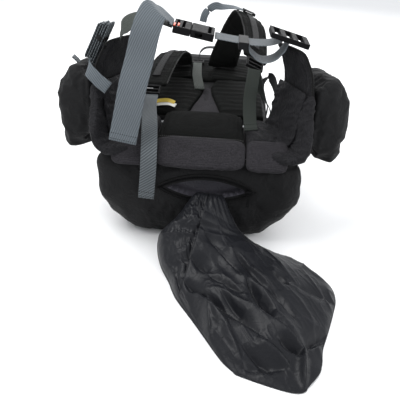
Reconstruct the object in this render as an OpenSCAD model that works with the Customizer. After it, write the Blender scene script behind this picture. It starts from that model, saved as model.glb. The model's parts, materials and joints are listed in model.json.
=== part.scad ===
// Trekking rucksack lying on its front panel, back panel up and base end towards -Y.
// +X is to the right, +Y runs from the base to the lid, +Z is up.
// The origin is the centre of the front pocket's resting face.

/* [Bag] */
// Height of the back face above the resting face
bag_depth = 185; // [170:1:225]
// Length of the bottom compartment along Y
base_len = 215; // [180:1:260]
// Width of the bottom compartment
base_w = 400; // [340:1:480]
// Length of the main bag along Y
body_len = 430; // [360:1:520]
// Width of the main bag
body_w = 300; // [260:1:350]
// Length of the drawcord collar
collar_len = 34; // [20:1:60]
// Thickness of the lid along Y
lid_len = 72; // [55:1:90]
// Width of the lid
lid_w = 284; // [240:1:330]
// Length of the front pocket's resting face
front_len = 264; // [220:1:320]
// Width of the front pocket's resting face
front_w = 196; // [160:1:235]

/* [Back system] */
// Thickness of the plastic frame sheet
sheet_t = 2; // [1.5:0.5:3]
// Width of each aluminium stay
stay_w = 22; // [18:1:26]
// Thickness of each aluminium stay
stay_t = 3; // [2:0.5:4]
// Thickness of the foam back panel
panel_t = 12; // [8:1:16]
// Height of the back pads above the panel
pad_t = 13; // [10:1:18]
// Height of the lumbar pad above the belt core
lumbar_t = 27; // [20:1:34]

/* [Hip belt] */
// Width of each wing at its root
wing_w = 134; // [115:1:160]
// Thickness of each wing
wing_t = 22; // [18:1:26]
// Distance of each wing's root from the middle of the bag
wing_root_x = 166; // [150:1:190]
// Depth of each hip pocket
pocket_d = 82; // [70:1:98]
// Width of the belt webbing
belt_w = 50; // [40:1:60]

/* [Webbing and zips] */
// Width of the shoulder webbing
web_w = 26; // [20:1:31]
// Thickness of all webbing
web_t = 1.8; // [1.5:0.1:2.4]
// Width of each shoulder strap
strap_w = 62; // [52:1:75]
// Thickness of each shoulder strap
strap_t = 12; // [10:1:15]
// Length of the zipped opening in the base
mouth_len = 174; // [145:1:209]
// Height of the zipped opening in the base
mouth_h = 46; // [40:1:56]
// Length of the zip sliders
slider_len = 13; // [11:1:16]

/* [Hidden] */

$fn = 32;
touch = 0.3;                    // clearance between pieces that lie against each other
run = 0.5;                      // clearance of the pieces that slide or turn
y_join = -front_len / 2 - 3;    // where the bottom compartment meets the main bag
y_end = y_join - base_len;      // back edge of the base
y_top = y_join + body_len;      // top of the main bag
y_collar = y_top + collar_len;  // top of the collar
z_back = bag_depth;             // the bag's back face
z_sheet = z_back + sheet_t;     // top of the frame sheet
z_panel = z_sheet + panel_t;    // top of the foam back panel
z_pad = z_panel + pad_t;        // top of the back pads
z_clear = 22;                   // height of the main bag's front above the resting face
y_pad0 = -158;                  // base end of the back pads
y_yoke0 = 92;                   // base end of the yoke
y_belt = y_end + 85;            // middle of the hip belt
core_t = 14;                    // thickness of the belt core
z_core = z_sheet + core_t;      // top of the belt core
belt_z = z_core - 1;            // height that the belt's places are measured from
pivot_z = z_core - 4;           // height of the wings' hinge lines
splay = 17.5;                   // angle of the hinge lines to the Y axis
pocket_x = wing_t / 2 + 15.9;   // inner face of a hip pocket, from its wing's root
pocket_out = pocket_x + pocket_d;  // outer face of a hip pocket
mouth_z = bag_depth - 57;       // middle of the zipped opening
mouth_x = 17;                   // middle of the zipped opening
lining_t = 1.5;                 // thickness of the pocket lining
zip_t = 3;                      // thickness of the zip's tape and coil
mouth_depth = 48;               // depth of the pocket behind the opening
web_black = [0.09, 0.09, 0.1];
cloth_black = [0.13, 0.13, 0.14];
pad_black = [0.17, 0.17, 0.18];
web_grey = [0.5, 0.54, 0.55];
web_olive = [0.38, 0.41, 0.38];
plastic_black = [0.06, 0.06, 0.065];

// ---- Curves and sweeps ----

RECTANGLE = [[-1, -1], [1, -1], [1, 1], [-1, 1]];
OVAL = [for (i = [0 : 13]) [cos(i * 360 / 14), sin(i * 360 / 14)]];
BOLSTER = [[-0.86, -1], [0.86, -1], [1, -0.4], [1, 0.4], [0.86, 1], [-0.86, 1], [-1, 0.4], [-1, -0.4]];

function unit(v) = v / norm(v);
function bend(a, b, c, d, t) =
    0.5 * (2 * b + (c - a) * t + (2 * a - 5 * b + 4 * c - d) * t * t
    + (3 * b - a - 3 * c + d) * t * t * t);
// A smooth run of values through the ones chosen, with n steps between each pair
function smooth(p, n) = let (m = len(p) - 1) [
    for (i = [0 : m - 1], k = [0 : n - 1])
        bend(p[max(i - 1, 0)], p[i], p[i + 1], p[min(i + 2, m)], k / n),
    p[m]
];
function along(p, i) = unit(p[min(i + 1, len(p) - 1)] - p[max(i - 1, 0)]);

// A closed strip along smooth points: section is carried along, w wide and t thick
module sweep(points, across, w, t, section = RECTANGLE, n = 3) {
    p = smooth(points, n);
    a = smooth(across, n);
    ws = smooth(w, n);
    ts = smooth(t, n);
    m = len(p);
    s = len(section);
    rings = [
        for (i = [0 : m - 1])
            let (f = along(p, i), u = unit(a[i] - f * (a[i] * f)), v = cross(f, u))
                for (c = section) p[i] + u * c[0] * ws[i] / 2 + v * c[1] * ts[i] / 2
    ];
    sides = [
        for (i = [0 : m - 2], j = [0 : s - 1])
            let (k = (j + 1) % s, q = i * s, r = q + s)
                each [[q + k, q + j, r + k], [r + k, q + j, r + j]]
    ];
    first = [for (j = [0 : s - 1]) j];
    last = [for (j = [s - 1 : -1 : 0]) (m - 1) * s + j];
    polyhedron(rings, concat(sides, [first, last]));
}

// Webbing of one width: each entry is [centre, direction across]
module webbing(route, w = web_w, n = 3) {
    points = [for (r = route) r[0]];
    across = [for (r = route) r[1]];
    sweep(points, across, [for (r = route) w], [for (r = route) web_t], n = n);
}

module ball(x, y, z, r) {
    translate([x, y, z]) sphere(r);
}

// A pad with a flat underside and rounded upper edges
module pad(outline, z0, z1, r) {
    hull() {
        translate([0, 0, z0]) linear_extrude(z1 - z0 - r) polygon(outline);
        for (q = outline)
            let (c = [outline_middle(outline)[0], outline_middle(outline)[1]], d = unit(c - q) * r * 1.4)
                ball(q[0] + d[0], q[1] + d[1], z1 - r, r);
    }
}
function outline_middle(o) = [for (k = [0, 1]) (min([for (q = o) q[k]]) + max([for (q = o) q[k]])) / 2];

// A lens outline between two arcs
module lens(length, height) {
    r = (length * length / 4 + height * height / 4) / height;
    intersection() {
        translate([0, height / 2 - r]) circle(r, $fn = 128);
        translate([0, r - height / 2]) circle(r, $fn = 128);
    }
}

// ---- Bag ----

module base_shape() {
    half = base_w / 2;
    join = body_w / 2;
    hull() {
        for (s = [-1, 1]) {
            ball(s * (half - 22), y_end + 27, z_back - 24, 22);
            ball(s * (half - 34), y_end + 36, z_back - 78, 34);
            ball(s * (half - 90), y_end + 60, 46, 46);
            ball(s * (half - 52), y_end + 60, 70, 40);
            ball(s * (join - 20), y_join - 22, z_back - 20, 20);
            ball(s * (join - 30), y_join - 32, 62, 30);
            ball(s * (join - 60), y_join - 32, 32, 30);
            translate([s * 62, y_end + 62, 0]) cylinder(h = 10, r = 24);
            translate([s * 62, y_join - 25, 0]) cylinder(h = 10, r = 24);
        }
        translate([mouth_x, y_end, mouth_z]) rotate([-90, 0, 0])
            linear_extrude(2) square([mouth_len + 34, mouth_h + 22], center = true);
        for (s = [-1, 1])
            translate([s * (half - 60), y_end + 30, z_back - 20]) cylinder(h = 20, r = 20);
        for (s = [-1, 1])
            translate([s * (join - 30), y_join - 20, z_back - 20]) cylinder(h = 20, r = 20);
    }
}

module bottom_compartment() {
    color(cloth_black)
        difference() {
            base_shape();
            translate([mouth_x, y_end + mouth_depth, mouth_z])
                rotate([90, 0, 0]) linear_extrude(100) lens(mouth_len, mouth_h);
        }
}

module main_bag() {
    half = body_w / 2;
    color(cloth_black)
        hull()
            for (s = [-1, 1], y = [y_join + 20.3, y_top - 20]) {
                ball(s * (half - 20), y, z_back - 26, 20);
                ball(s * (half - 35), y, z_clear + 32, 20);
                translate([s * (half - 30), y, z_back - 10]) cylinder(h = 10, r = 20);
                translate([s * (half - 60), y, z_clear]) cylinder(h = 10, r = 20);
            }
}

module front_pocket() {
    color(cloth_black)
        hull() {
            for (sx = [-1, 1], sy = [-1, 1])
                translate([sx * (front_w / 2 - 18), sy * (front_len / 2 - 18), 0]) cylinder(h = 8, r = 18);
            for (sx = [-1, 1], y = [y_join + 24, front_len / 2 + 12])
                translate([sx * (front_w / 2 - 14), y, z_clear - 4]) cylinder(h = 4 - touch, r = 22);
        }
}

module collar() {
    color(web_black)
        hull()
            for (s = [-1, 1], z = [z_clear + 38, z_back - 30])
                translate([s * (body_w / 2 - 42), y_top + touch, z])
                    rotate([-90, 0, 0]) cylinder(h = collar_len - touch, r = 28);
}

module pocket_lining() {
    color([0.2, 0.2, 0.22])
        translate([mouth_x, y_end + mouth_depth - touch, mouth_z]) rotate([90, 0, 0])
            difference() {
                linear_extrude(mouth_depth - 10) lens(mouth_len - 6 * touch, mouth_h - 2 * touch);
                translate([0, 0, lining_t])
                    linear_extrude(mouth_depth) lens(mouth_len - 12, mouth_h - 2 * lining_t - 2 * touch);
            }
}

// The cover's neck leaves the opening, drops over the base and spreads on the floor
COVER = [ // [place from the opening's middle and the floor, width, thickness]
    [[-5, 40], mouth_z - 8, 36, 24], [[-5, 4], mouth_z - 7, 42, 26], [[-7, -22], mouth_z - 20, 62, 28],
    [[-9, -38], mouth_z - 62, 92, 34], [[-3, -58], 44, 130, 44], [[20, -108], 32, 170, 52],
    [[62, -180], 30, 206, 54], [[98, -250], 28, 200, 52], [[122, -320], 22, 150, 40], [[134, -378], 13, 92, 22]
];
module rain_cover() {
    color([0.2, 0.21, 0.24])
        sweep([for (c = COVER) [mouth_x + c[0][0], y_end + c[0][1], c[1]]], [for (c = COVER) [1, 0.25, 0]],
            [for (c = COVER) c[2]], [for (c = COVER) c[3]], OVAL, 2);
}

module base_zip() {
    color(web_black)
        translate([mouth_x, y_end - touch, mouth_z]) rotate([90, 0, 0])
            difference() {
                linear_extrude(zip_t) lens(mouth_len + 22, mouth_h + 14);
                translate([0, 0, -1]) linear_extrude(zip_t + 2) lens(mouth_len + 1, mouth_h + 1);
            }
}

slider_x = mouth_x + mouth_len / 2 - 6;
slider_y = y_end - touch - zip_t - run;
module base_zip_slider() {
    color(plastic_black)
        translate([slider_x - slider_len / 2, slider_y - 5, mouth_z - 5])
            difference() {
                cube([slider_len, 5, 10]);
                translate([-1, -1, 3]) cube([slider_len + 2, 3, 4]);
                translate([slider_len / 2, 1.4, 5]) rotate([0, 90, 0])
                    cylinder(h = slider_len + 2, r = 0.9, center = true);
            }
}

// A pull tab that hangs from a slider's bar
module pull_tab(length) {
    difference() {
        union() {
            translate([-3, -1, -length]) cube([6, 2, length - 3]);
            translate([-3, -1, -4]) cube([1.4, 2, 4]);
            translate([1.6, -1, -4]) cube([1.4, 2, 4]);
        }
        translate([0, 0, -length + 4]) rotate([90, 0, 0]) cylinder(h = 4, r = 1.5, center = true);
    }
    rotate([0, 90, 0]) cylinder(h = 6, r = 1, center = true);
}

module base_zip_pull() {
    color(plastic_black) translate([slider_x, slider_y - 5 - 1.6, mouth_z - 2]) pull_tab(26);
}

// ---- Back system ----

module frame_sheet() {
    color([0.75, 0.76, 0.78])
        translate([-(body_w / 2 - 22), y_end + 24, z_back])
            cube([body_w - 44, y_top - 24 - (y_end + 24), sheet_t]);
}

stay_x = 46;
module frame_stays() {
    color([0.7, 0.71, 0.73])
        for (s = [-1, 1])
            translate([s * stay_x - stay_w / 2, y_pad0 + 10, z_sheet])
                cube([stay_w, y_top - 44 - (y_pad0 + 10), stay_t]);
}

module back_panel() {
    color(pad_black)
        difference() {
            translate([-(body_w / 2 - 20), y_pad0, z_sheet])
                cube([body_w - 40, y_top - 16 - y_pad0, panel_t]);
            for (s = [-1, 1])
                translate([s * stay_x - stay_w / 2 - touch, y_pad0 + 10 - touch, z_sheet - 1])
                    cube([stay_w + 2 * touch, y_top - 44 - (y_pad0 + 10) + 2 * touch, stay_t + 1 + touch]);
        }
}

PAD_OUTLINE = [[34, y_pad0 + 2], [body_w / 2 - 24, y_pad0 + 2], [body_w / 2 - 24, y_yoke0 - 6],
    [36, y_yoke0 - 6], [12, -40]];
module back_pad_right() {
    color(pad_black) pad(PAD_OUTLINE, z_panel, z_pad, 6);
}
module back_pad_left() {
    mirror([1, 0, 0]) back_pad_right();
}

YOKE_OUTLINE = [[-(body_w / 2 - 36), y_yoke0], [body_w / 2 - 36, y_yoke0],
    [body_w / 2 - 50, y_top - 46], [-(body_w / 2 - 50), y_top - 46]];
module yoke_panel() {
    color(pad_black) pad(YOKE_OUTLINE, z_panel, z_pad + 1, 6);
}

module back_adjust_strap() {
    color(web_olive)
        webbing([[[-34, 188, z_pad + 7], [1, 0.1, 0]], [[-33, 150, z_pad + 6], [1, 0.1, 0]],
            [[-30, 90, z_pad + 4], [1, 0.1, 0]], [[-24, 40, z_pad + 1.5], [1, 0.1, 0]],
            [[-18, -12, z_pad + 1.5], [1, 0.1, 0]]], 24);
}

module back_adjust_buckle() {
    color(plastic_black)
        translate([-35, 200, z_pad + 1 + touch])
            difference() {
                translate([-17, -11, 0]) cube([34, 30, 7]);
                translate([-13.5, -12, 2]) cube([27, 10, 3]);
                translate([-13.5, 2, -1]) cube([27, 4, 9]);
                translate([-13.5, 10, -1]) cube([27, 4, 9]);
            }
}

module size_label() {
    color([0.9, 0.9, 0.86])
        sweep([[-112, y_pad0 + 22, z_pad + 1], [-95, y_pad0 + 20, z_pad + 6], [-78, y_pad0 + 18, z_pad + 8],
            [-64, y_pad0 + 16, z_pad + 4]], [for (i = [0 : 3]) [0, 1, 0]], [for (i = [0 : 3]) 24],
            [for (i = [0 : 3]) 0.8]);
}

// ---- Hip belt, fixed part ----

// Turns and moves a right-hand wing piece from the hinge line's own frame
module at_wing() {
    translate([wing_root_x, y_belt, pivot_z]) rotate([0, 0, splay]) children();
}

module belt_core() {
    seat = wing_t / 2 + run + 0.2;
    color(web_black)
        difference() {
            linear_extrude_between(z_sheet, z_core)
                polygon([[-core_x(1), y_belt + 62], [-core_x(-1), y_belt - 62],
                    [core_x(-1), y_belt - 62], [core_x(1), y_belt + 62]]);
            for (s = [0, 1])
                mirror([s, 0, 0]) at_wing()
                    rotate([90, 0, 0]) cylinder(h = 200, r = seat, center = true);
        }
}
function core_x(s) = wing_root_x - 7 - s * 62 * tan(splay);
module linear_extrude_between(z0, z1) {
    translate([0, 0, z0]) linear_extrude(z1 - z0) children();
}

lumbar_w = 172;
// The padded lower edge of the belt: it rolls over the end of the base
module belt_roll(x0, x1) {
    hull()
        for (x = [x0, x1]) {
            ball(x, y_belt - 50, z_core + 18, 10);
            ball(x, y_end + 7, z_core + 9, 12);
        }
    hull()
        for (x = [x0, x1]) {
            ball(x, y_end + 7, z_core + 9, 12);
            ball(x, y_end - 12, z_back + 3, 11);
        }
}

module lumbar_pad() {
    half = lumbar_w / 2;
    color(pad_black) {
        hull() {
            for (s = [-1, 1]) {
                translate([s * (half - 8), y_belt - 48, z_core]) cylinder(h = 3, r = 8);
                translate([s * (half - 8), y_belt + 88, z_core + 1]) cylinder(h = 3, r = 8);
                ball(s * (half - 9), y_belt - 46, z_core + 12, 9);
                ball(s * (half - 12), y_belt + 78, z_core + lumbar_t - 10, 10);
            }
            ball(0, y_belt + 60, z_core + lumbar_t - 11, 12);
        }
        belt_roll(-half + 14, half - 14);
    }
}

module belt_root_pad_right() {
    in = lumbar_w / 2 + 1.5;
    far = wing_root_x - wing_t / 2 - touch - 62 * tan(splay) - 4;
    near = wing_root_x - wing_t / 2 - touch + 50 * tan(splay) - 4;
    color(pad_black) {
        hull() {
            linear_extrude_between(z_core + touch, z_core + 4)
                polygon([[in, y_belt - 56], [near, y_belt - 56], [far, y_belt + 60], [in, y_belt + 60]]);
            ball(in + 12, y_belt - 42, z_core + 10, 9);
            ball(in + 12, y_belt + 46, z_core + 12, 9);
            ball(far - 12, y_belt + 46, z_core + 13, 9);
            ball(near - 16, y_belt - 42, z_core + 11, 9);
        }
        belt_roll(in + 13, near - 16);
    }
}
module belt_root_pad_left() {
    mirror([1, 0, 0]) belt_root_pad_right();
}

// ---- Hip-belt wings: own frame has its origin on the hinge line, Y along it ----

WING = [ // [sideways, height, width, lean of the far edge]
    [0, 0, wing_w, 0], [2, 14, wing_w, 0], [10, 44, wing_w, 0], [15, 82, wing_w, 0],
    [13, 122, wing_w - 6, 0], [4, 160, wing_w - 18, -0.06], [-12, 191, wing_w - 42, -0.14]
];
module wing() {
    color(pad_black)
        sweep([for (c = WING) [c[0], 0, c[1]]], [for (c = WING) [c[3], 1, 0]], [for (c = WING) c[2]],
            [for (c = WING) wing_t], BOLSTER, 3);
}
module hip_wing_right() {
    at_wing() wing();
}
module hip_wing_left() {
    mirror([1, 0, 0]) at_wing() wing();
}

pocket_y = 60; // half length of a hip pocket along the hinge line
module pocket() {
    color(cloth_black)
        hull() {
            for (y = [-pocket_y + 2, pocket_y - 2])
                for (z = [22, 118])
                    translate([pocket_x, y - 1, z]) cube([6, 2, 4]);
            for (y = [-pocket_y + 24, pocket_y - 24]) {
                ball(pocket_out - 24, y, 26, 24);
                ball(pocket_out - 24, y, 92, 24);
                ball(pocket_out - 46, y, 126, 18);
                ball(pocket_out - 30, y, -6, 22);
            }
        }
}
module hip_pocket_right() {
    at_wing() pocket();
}
module hip_pocket_left() {
    mirror([1, 0, 0]) at_wing() pocket();
}

zip_top = 88; // height of a closed pocket slider above the hinge line
module pocket_slider() {
    color(plastic_black)
        translate([pocket_out + touch, -5, zip_top - slider_len / 2])
            difference() {
                cube([5, 10, slider_len]);
                translate([2, 3, -1]) cube([4, 4, slider_len + 2]);
                translate([3.6, 5, slider_len / 2]) rotate([90, 0, 0])
                    cylinder(h = 12, r = 0.9, center = true);
            }
}
module pocket_slider_right() {
    at_wing() pocket_slider();
}
module pocket_slider_left() {
    mirror([1, 0, 0]) at_wing() pocket_slider();
}
module pocket_pull() {
    color(web_grey) translate([pocket_out + 5 + touch + 1.6, 0, zip_top - 1]) rotate([0, 0, 90]) pull_tab(28);
}
module pocket_pull_right() {
    at_wing() pocket_pull();
}
module pocket_pull_left() {
    mirror([1, 0, 0]) at_wing() pocket_pull();
}

// ---- Belt webbing and buckle: places are measured from the belt's middle and the hinge height ----

function belt(x, y, z) = [x, y_belt + y, belt_z + z];
ACROSS = [0, 1, 0];

module belt_webbing_left() {
    color(web_grey)
        webbing([[belt(-157, -10, 192), ACROSS], [belt(-150, -10, 210), ACROSS], [belt(-130, -10, 224), ACROSS],
            [belt(-104, -10, 230), ACROSS], [belt(-80, -10, 224), ACROSS], [belt(-61, -10, 218.5), ACROSS]],
            belt_w);
}

module belt_tail_left() {
    color(web_grey)
        webbing([[belt(-60.4, -10, 222), ACROSS * -1], [belt(-70, -12, 231), ACROSS * -1],
            [belt(-80, -22, 241), [0.3, -0.9, -0.2]],
            [belt(-92, -38, 247), [0.6, -0.5, -0.5]], [belt(-103, -60, 218), [0.86, -0.1, -0.45]],
            [belt(-112, -74, 174), [0.93, 0, -0.36]], [belt(-122, -91, 130), [0.94, 0, -0.33]],
            [belt(-131, -105, 76), [0.94, 0, -0.32]], [belt(-139, -115, 30), [0.94, 0, -0.3]]], belt_w);
}

// Spare webbing folded to and fro, held flat on the wing's tip, and its hanging end
module strap_bundle_left() {
    color(web_olive) {
        mirror([1, 0, 0]) at_wing()
            translate([16.8, -30, 186]) rotate([0, -27, 0]) cube([14, 24, 86], center = true);
        webbing([[belt(-205, -44, 148), [0, 0.6, 0.8]], [belt(-206, -66, 146), [0.3, 0.2, 0.9]],
            [belt(-194, -76, 137), [0.45, 0, 0.9]], [belt(-182, -79, 127), [0.5, 0, 0.87]],
            [belt(-168, -80, 117), [0.53, 0, 0.85]]], 24);
    }
}

buckle_tilt = 10;
buckle_t = 13;
buckle_w = 60;
module at_buckle() {
    translate(belt(-28, -10, 212)) rotate([0, buckle_tilt, 0]) children();
}
module buckle_male() {
    color(plastic_black) at_buckle() {
        difference() {
            translate([-32, -buckle_w / 2, -buckle_t / 2]) cube([32 - run, buckle_w, buckle_t]);
            translate([-28, -belt_w / 2 - 2, -buckle_t]) cube([5, belt_w + 4, 2 * buckle_t]);
            translate([-17, -belt_w / 2 - 2, -buckle_t]) cube([5, belt_w + 4, 2 * buckle_t]);
        }
        for (s = [-1, 1])
            translate([-1, s * 19 - 5, -2.5]) cube([19, 10, 5]);
        translate([-1, -3, -2.5]) cube([22, 6, 5]);
    }
}
module buckle_female() {
    color(plastic_black) at_buckle()
        difference() {
            translate([0, -buckle_w / 2, -buckle_t / 2]) cube([42, buckle_w, buckle_t]);
            translate([-1, -buckle_w / 2 + 4, -3.2]) cube([26, buckle_w - 8, 6.4]);
            for (s = [-1, 1])
                translate([8, s * (buckle_w / 2) - 7, -3.2]) cube([13, 14, 6.4]);
            translate([30, -belt_w / 2 - 2, -buckle_t]) cube([6, belt_w + 4, 2 * buckle_t]);
        }
}

module belt_webbing_right() {
    color(web_grey)
        webbing([[belt(15, -10, 204.3), ACROSS], [belt(40, -10, 201), ACROSS], [belt(64, -10, 198), ACROSS],
            [belt(92, -10, 196), ACROSS], [belt(116, -10, 198), ACROSS], [belt(135, -10, 205.2), ACROSS]], belt_w);
}

module belt_keeper() {
    color(web_black)
        translate(belt(67, -10, 192.5)) rotate([0, 4, 0])
            difference() {
                translate([-9, -belt_w / 2 - 3.5, -4.5]) cube([18, belt_w + 7, 13]);
                translate([-10, -belt_w / 2 - 1, -2.5]) cube([20, belt_w + 2, 9]);
            }
}

module belt_loop_right() {
    color(web_grey)
        webbing([[belt(77.4, -10, 191.5), ACROSS], [belt(82, -12, 180), ACROSS], [belt(102, -14, 167), ACROSS],
            [belt(125, -14, 172), ACROSS], [belt(140, -12, 188), ACROSS], [belt(146, -11, 202.2), ACROSS]],
            belt_w);
}

module belt_slider_right() {
    color(plastic_black)
        translate(belt(148, -10, 208.2)) rotate([0, 15, 0])
            difference() {
                translate([-36, -belt_w / 2 - 5, -4.5]) cube([72, belt_w + 10, 9]);
                for (x = [-30, -8, 14])
                    translate([x, -belt_w / 2 - 1, -6]) cube([12, belt_w + 2, 12]);
            }
}

// ---- Shoulder harness ----

function back(x, y, z) = [x, y, z_pad + z];
STRAP_RIGHT = [ // [centre, direction across, share of the full width]
    [back(30, 178, 8), [1, 0, 0], 1.15], [back(33, 156, 16), [1, 0, 0], 1.15],
    [back(40, 134, 50), [0.9, -0.3, -0.1], 1.1],
    [back(58, 106, 112), [0.92, -0.3, -0.3], 1], [back(78, 52, 160), [0.92, -0.2, -0.36], 0.95],
    [back(92, -10, 164), [0.9, -0.2, -0.4], 0.92], [back(99, -70, 148), [0.85, -0.1, -0.5], 0.9],
    [back(99, -125, 132), [0.85, 0, -0.5], 0.88], [back(97, -166, 122), [0.88, 0, -0.45], 0.85]
];
STRAP_LEFT = [
    [back(-84, 178, 8), [1, 0, 0], 1.15], [back(-84, 154, 16), [1, 0, 0], 1.15],
    [back(-84, 124, 40), [0.97, 0.1, 0.05], 1.1],
    [back(-87, 84, 58), [0.96, 0.1, 0.1], 1], [back(-93, 30, 68), [0.96, 0.2, 0.15], 0.95],
    [back(-100, -40, 68), [0.96, 0.1, 0.15], 0.92], [back(-107, -100, 60), [0.98, 0, 0.1], 0.9],
    [back(-111, -148, 50), [1, 0, 0.05], 0.85]
];
module shoulder_strap(list) {
    color(pad_black)
        sweep([for (c = list) c[0]], [for (c = list) c[1]], [for (c = list) c[2] * strap_w],
            [for (c = list) strap_t], BOLSTER, 3);
}
module shoulder_strap_right() {
    shoulder_strap(STRAP_RIGHT);
}
module shoulder_strap_left() {
    shoulder_strap(STRAP_LEFT);
}

// A ladder lock: a frame with two bars; webbing enters at its rear edge
module ladder_lock() {
    difference() {
        translate([-web_w / 2 - 5, -17, -3]) cube([web_w + 10, 34, 6]);
        for (y = [-13, 1])
            translate([-web_w / 2 - 1.5, y, -4]) cube([web_w + 3, 10, 8]);
    }
}
module ladder_lock_right() {
    color(plastic_black) translate(back(97, -184, 117.6)) rotate([14, 24, 0]) ladder_lock();
}
module ladder_lock_left() {
    color(plastic_black) translate(back(-113, -166, 46)) rotate([12, 0, 0]) ladder_lock();
}

module shoulder_tail_right() {
    color(web_olive)
        webbing([[back(97, -202.5, 113.2), [0.95, 0, -0.3]], [back(93, -219, 84), [0.98, 0, -0.1]],
            [back(91, -232, 54), [1, 0, 0]], [back(94, y_belt + 8, 24), [1, 0, 0]],
            [back(97, y_belt - 10, 13), [1, 0, 0]]]);
}
module shoulder_tail_left() {
    color(web_olive)
        webbing([[back(-112.5, -184, 41.6), [1, 0, 0]], [back(-109, -240, 38), [1, 0.05, 0]],
            [back(-99, y_end + 40, 32), [1, 0.1, 0]], [back(-94, y_end - 2, 17), [1, 0.1, 0]],
            [back(-92, y_end - 25, -6), [1, 0, 0]], [back(-93, y_end - 30, -44), [1, 0, 0]],
            [back(-97, y_end - 28, -96), [1, 0, 0]]], 30);
}

// The webbing that ties each strap's lower end to the bag's side
side_x = body_w / 2 + web_t;
// Half width of the main bag at height z: its sides lean in towards the front
function wall_x(z) = body_w / 2 - 15 * (z_back - 26 - z) / (z_back - 58 - z_clear);
module shoulder_webbing_right() {
    color(web_olive)
        webbing([[back(99.5, -179, 109.2), [0.9, 0, -0.4]], [back(110, -160, 70), [0.8, 0, -0.5]],
            [back(128, -145, 30), [0.5, -0.6, -0.4]], [back(144, y_join + 12, 0), [0.1, -1, -0.1]],
            [[side_x, y_join + 14, z_back - 16], [0, -1, 0]], [[wall_x(z_back - 44) + web_t / 2 + touch, y_join + 14, z_back - 44], [0, -1, 0]]],
            20);
}
module shoulder_webbing_left() {
    color(web_olive)
        webbing([[back(-115, -160, 42.4), [1, 0, 0]], [back(-124, -146, 20), [0.8, 0.5, 0.2]],
            [back(-143, y_join + 14, 2), [0.1, 1, 0]], [[-side_x, y_join + 14, z_back - 16], [0, 1, 0]],
            [[-wall_x(z_back - 44) - web_t / 2 - touch, y_join + 14, z_back - 44], [0, 1, 0]]], 20);
}

module load_lifters() {
    color(web_olive) {
        webbing([[back(52, 124, 102), [1, -0.2, 0]], [back(60, 180, 62), [1, 0, 0]],
            [back(64, y_top - 58, 14), [1, 0, 0]], [back(66, y_top - 36, -8), [1, 0, 0]],
            [back(66, y_top - 24, -pad_t + 1.3), [1, 0, 0]]], 20);
        webbing([[back(-84, 108, 57), [1, 0, 0]], [back(-80, 180, 36), [1, 0, 0]],
            [back(-76, y_top - 58, 12), [1, 0, 0]], [back(-72, y_top - 36, -8), [1, 0, 0]],
            [back(-72, y_top - 24, -pad_t + 1.3), [1, 0, 0]]], 20);
    }
}

module sternum_slider() {
    color(plastic_black)
        translate(back(84, 26, 174.2)) rotate([4, 22, 14])
            difference() {
                translate([-15, -8, 0]) cube([30, 16, 6]);
                translate([-11.5, -9, 1.6]) cube([23, 18, 2.6]);
            }
}
module sternum_strap() {
    color(web_grey)
        webbing([[back(70.4, 22.6, 182.6), [0, 1, 0]], [back(50, 18, 188), [0.1, 1, 0.2]],
            [back(24, 6, 190), [0.2, 0.8, 0.5]], [back(6, -4, 192), [0.3, 0.3, 0.9]],
            [back(-12, -8, 178), [0.8, 0, 0.4]], [back(-18, -10, 158), [0.9, 0.2, 0]]], 16);
}

module haul_loop() {
    color(web_black)
        webbing([[[-34, y_top - 31, z_panel + 1.8], [0, 1, 0]], [[-32, y_top - 27, z_panel + 26], [0, 1, 0.1]],
            [[-16, y_top - 21, z_panel + 40], [0, 1, 0]], [[16, y_top - 21, z_panel + 40], [0, 1, 0]],
            [[32, y_top - 27, z_panel + 26], [0, 1, 0.1]], [[34, y_top - 31, z_panel + 1.8], [0, 1, 0]]], 25);
}

// ---- Sides ----

STRAP_Y = [30, 210];
module side_straps() {
    half = body_w / 2;
    out = web_t / 2 + touch;
    color(web_black)
        for (s = [-1, 1], y = STRAP_Y)
            webbing([for (p = [[half - 18.5, z_back + out], [half - 9, z_back + out + 0.6],
                    [half - 0.5, z_back - 14], [half + out + 0.4, z_back - 30], [wall_x(100) + out + 0.4, 100],
                    [wall_x(62) + out + 0.4, 62], [wall_x(62) - 2.8, 42], [wall_x(62) - 10.5, 31]])
                [[s * p[0], y, p[1]], [0, s, 0]]], 20);
}
module side_buckles() {
    color(plastic_black)
        for (s = [-1, 1], y = STRAP_Y)
            translate([s * (wall_x(112) + web_t + 2 * touch + 4.8), y, 112]) rotate([0, s * 8, 0])
                difference() {
                    cube([8, 27, 38], center = true);
                    translate([0, 0, 12]) cube([10, 21, 5], center = true);
                    translate([0, 0, -12]) cube([10, 21, 5], center = true);
                }
}
module side_loop_right() {
    x = body_w / 2;
    color(web_black)
        webbing([[[x + 2, -84, 168], [0, 1, 0.2]], [[x + 10, -92, 205], [0.2, 1, 0.2]],
            [[x + 4, -104, 252], [0.5, 0.8, 0]], [[x - 14, -116, 286], [0.8, 0.4, 0.4]],
            [[x - 30, -112, 262], [0.6, 0.7, 0]], [[x - 18, -102, 222], [0.2, 1, 0]],
            [[x - 11, -98, z_back + 1.4], [0, 1, 0]]], 18);
}

// ---- Lid ----

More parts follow.
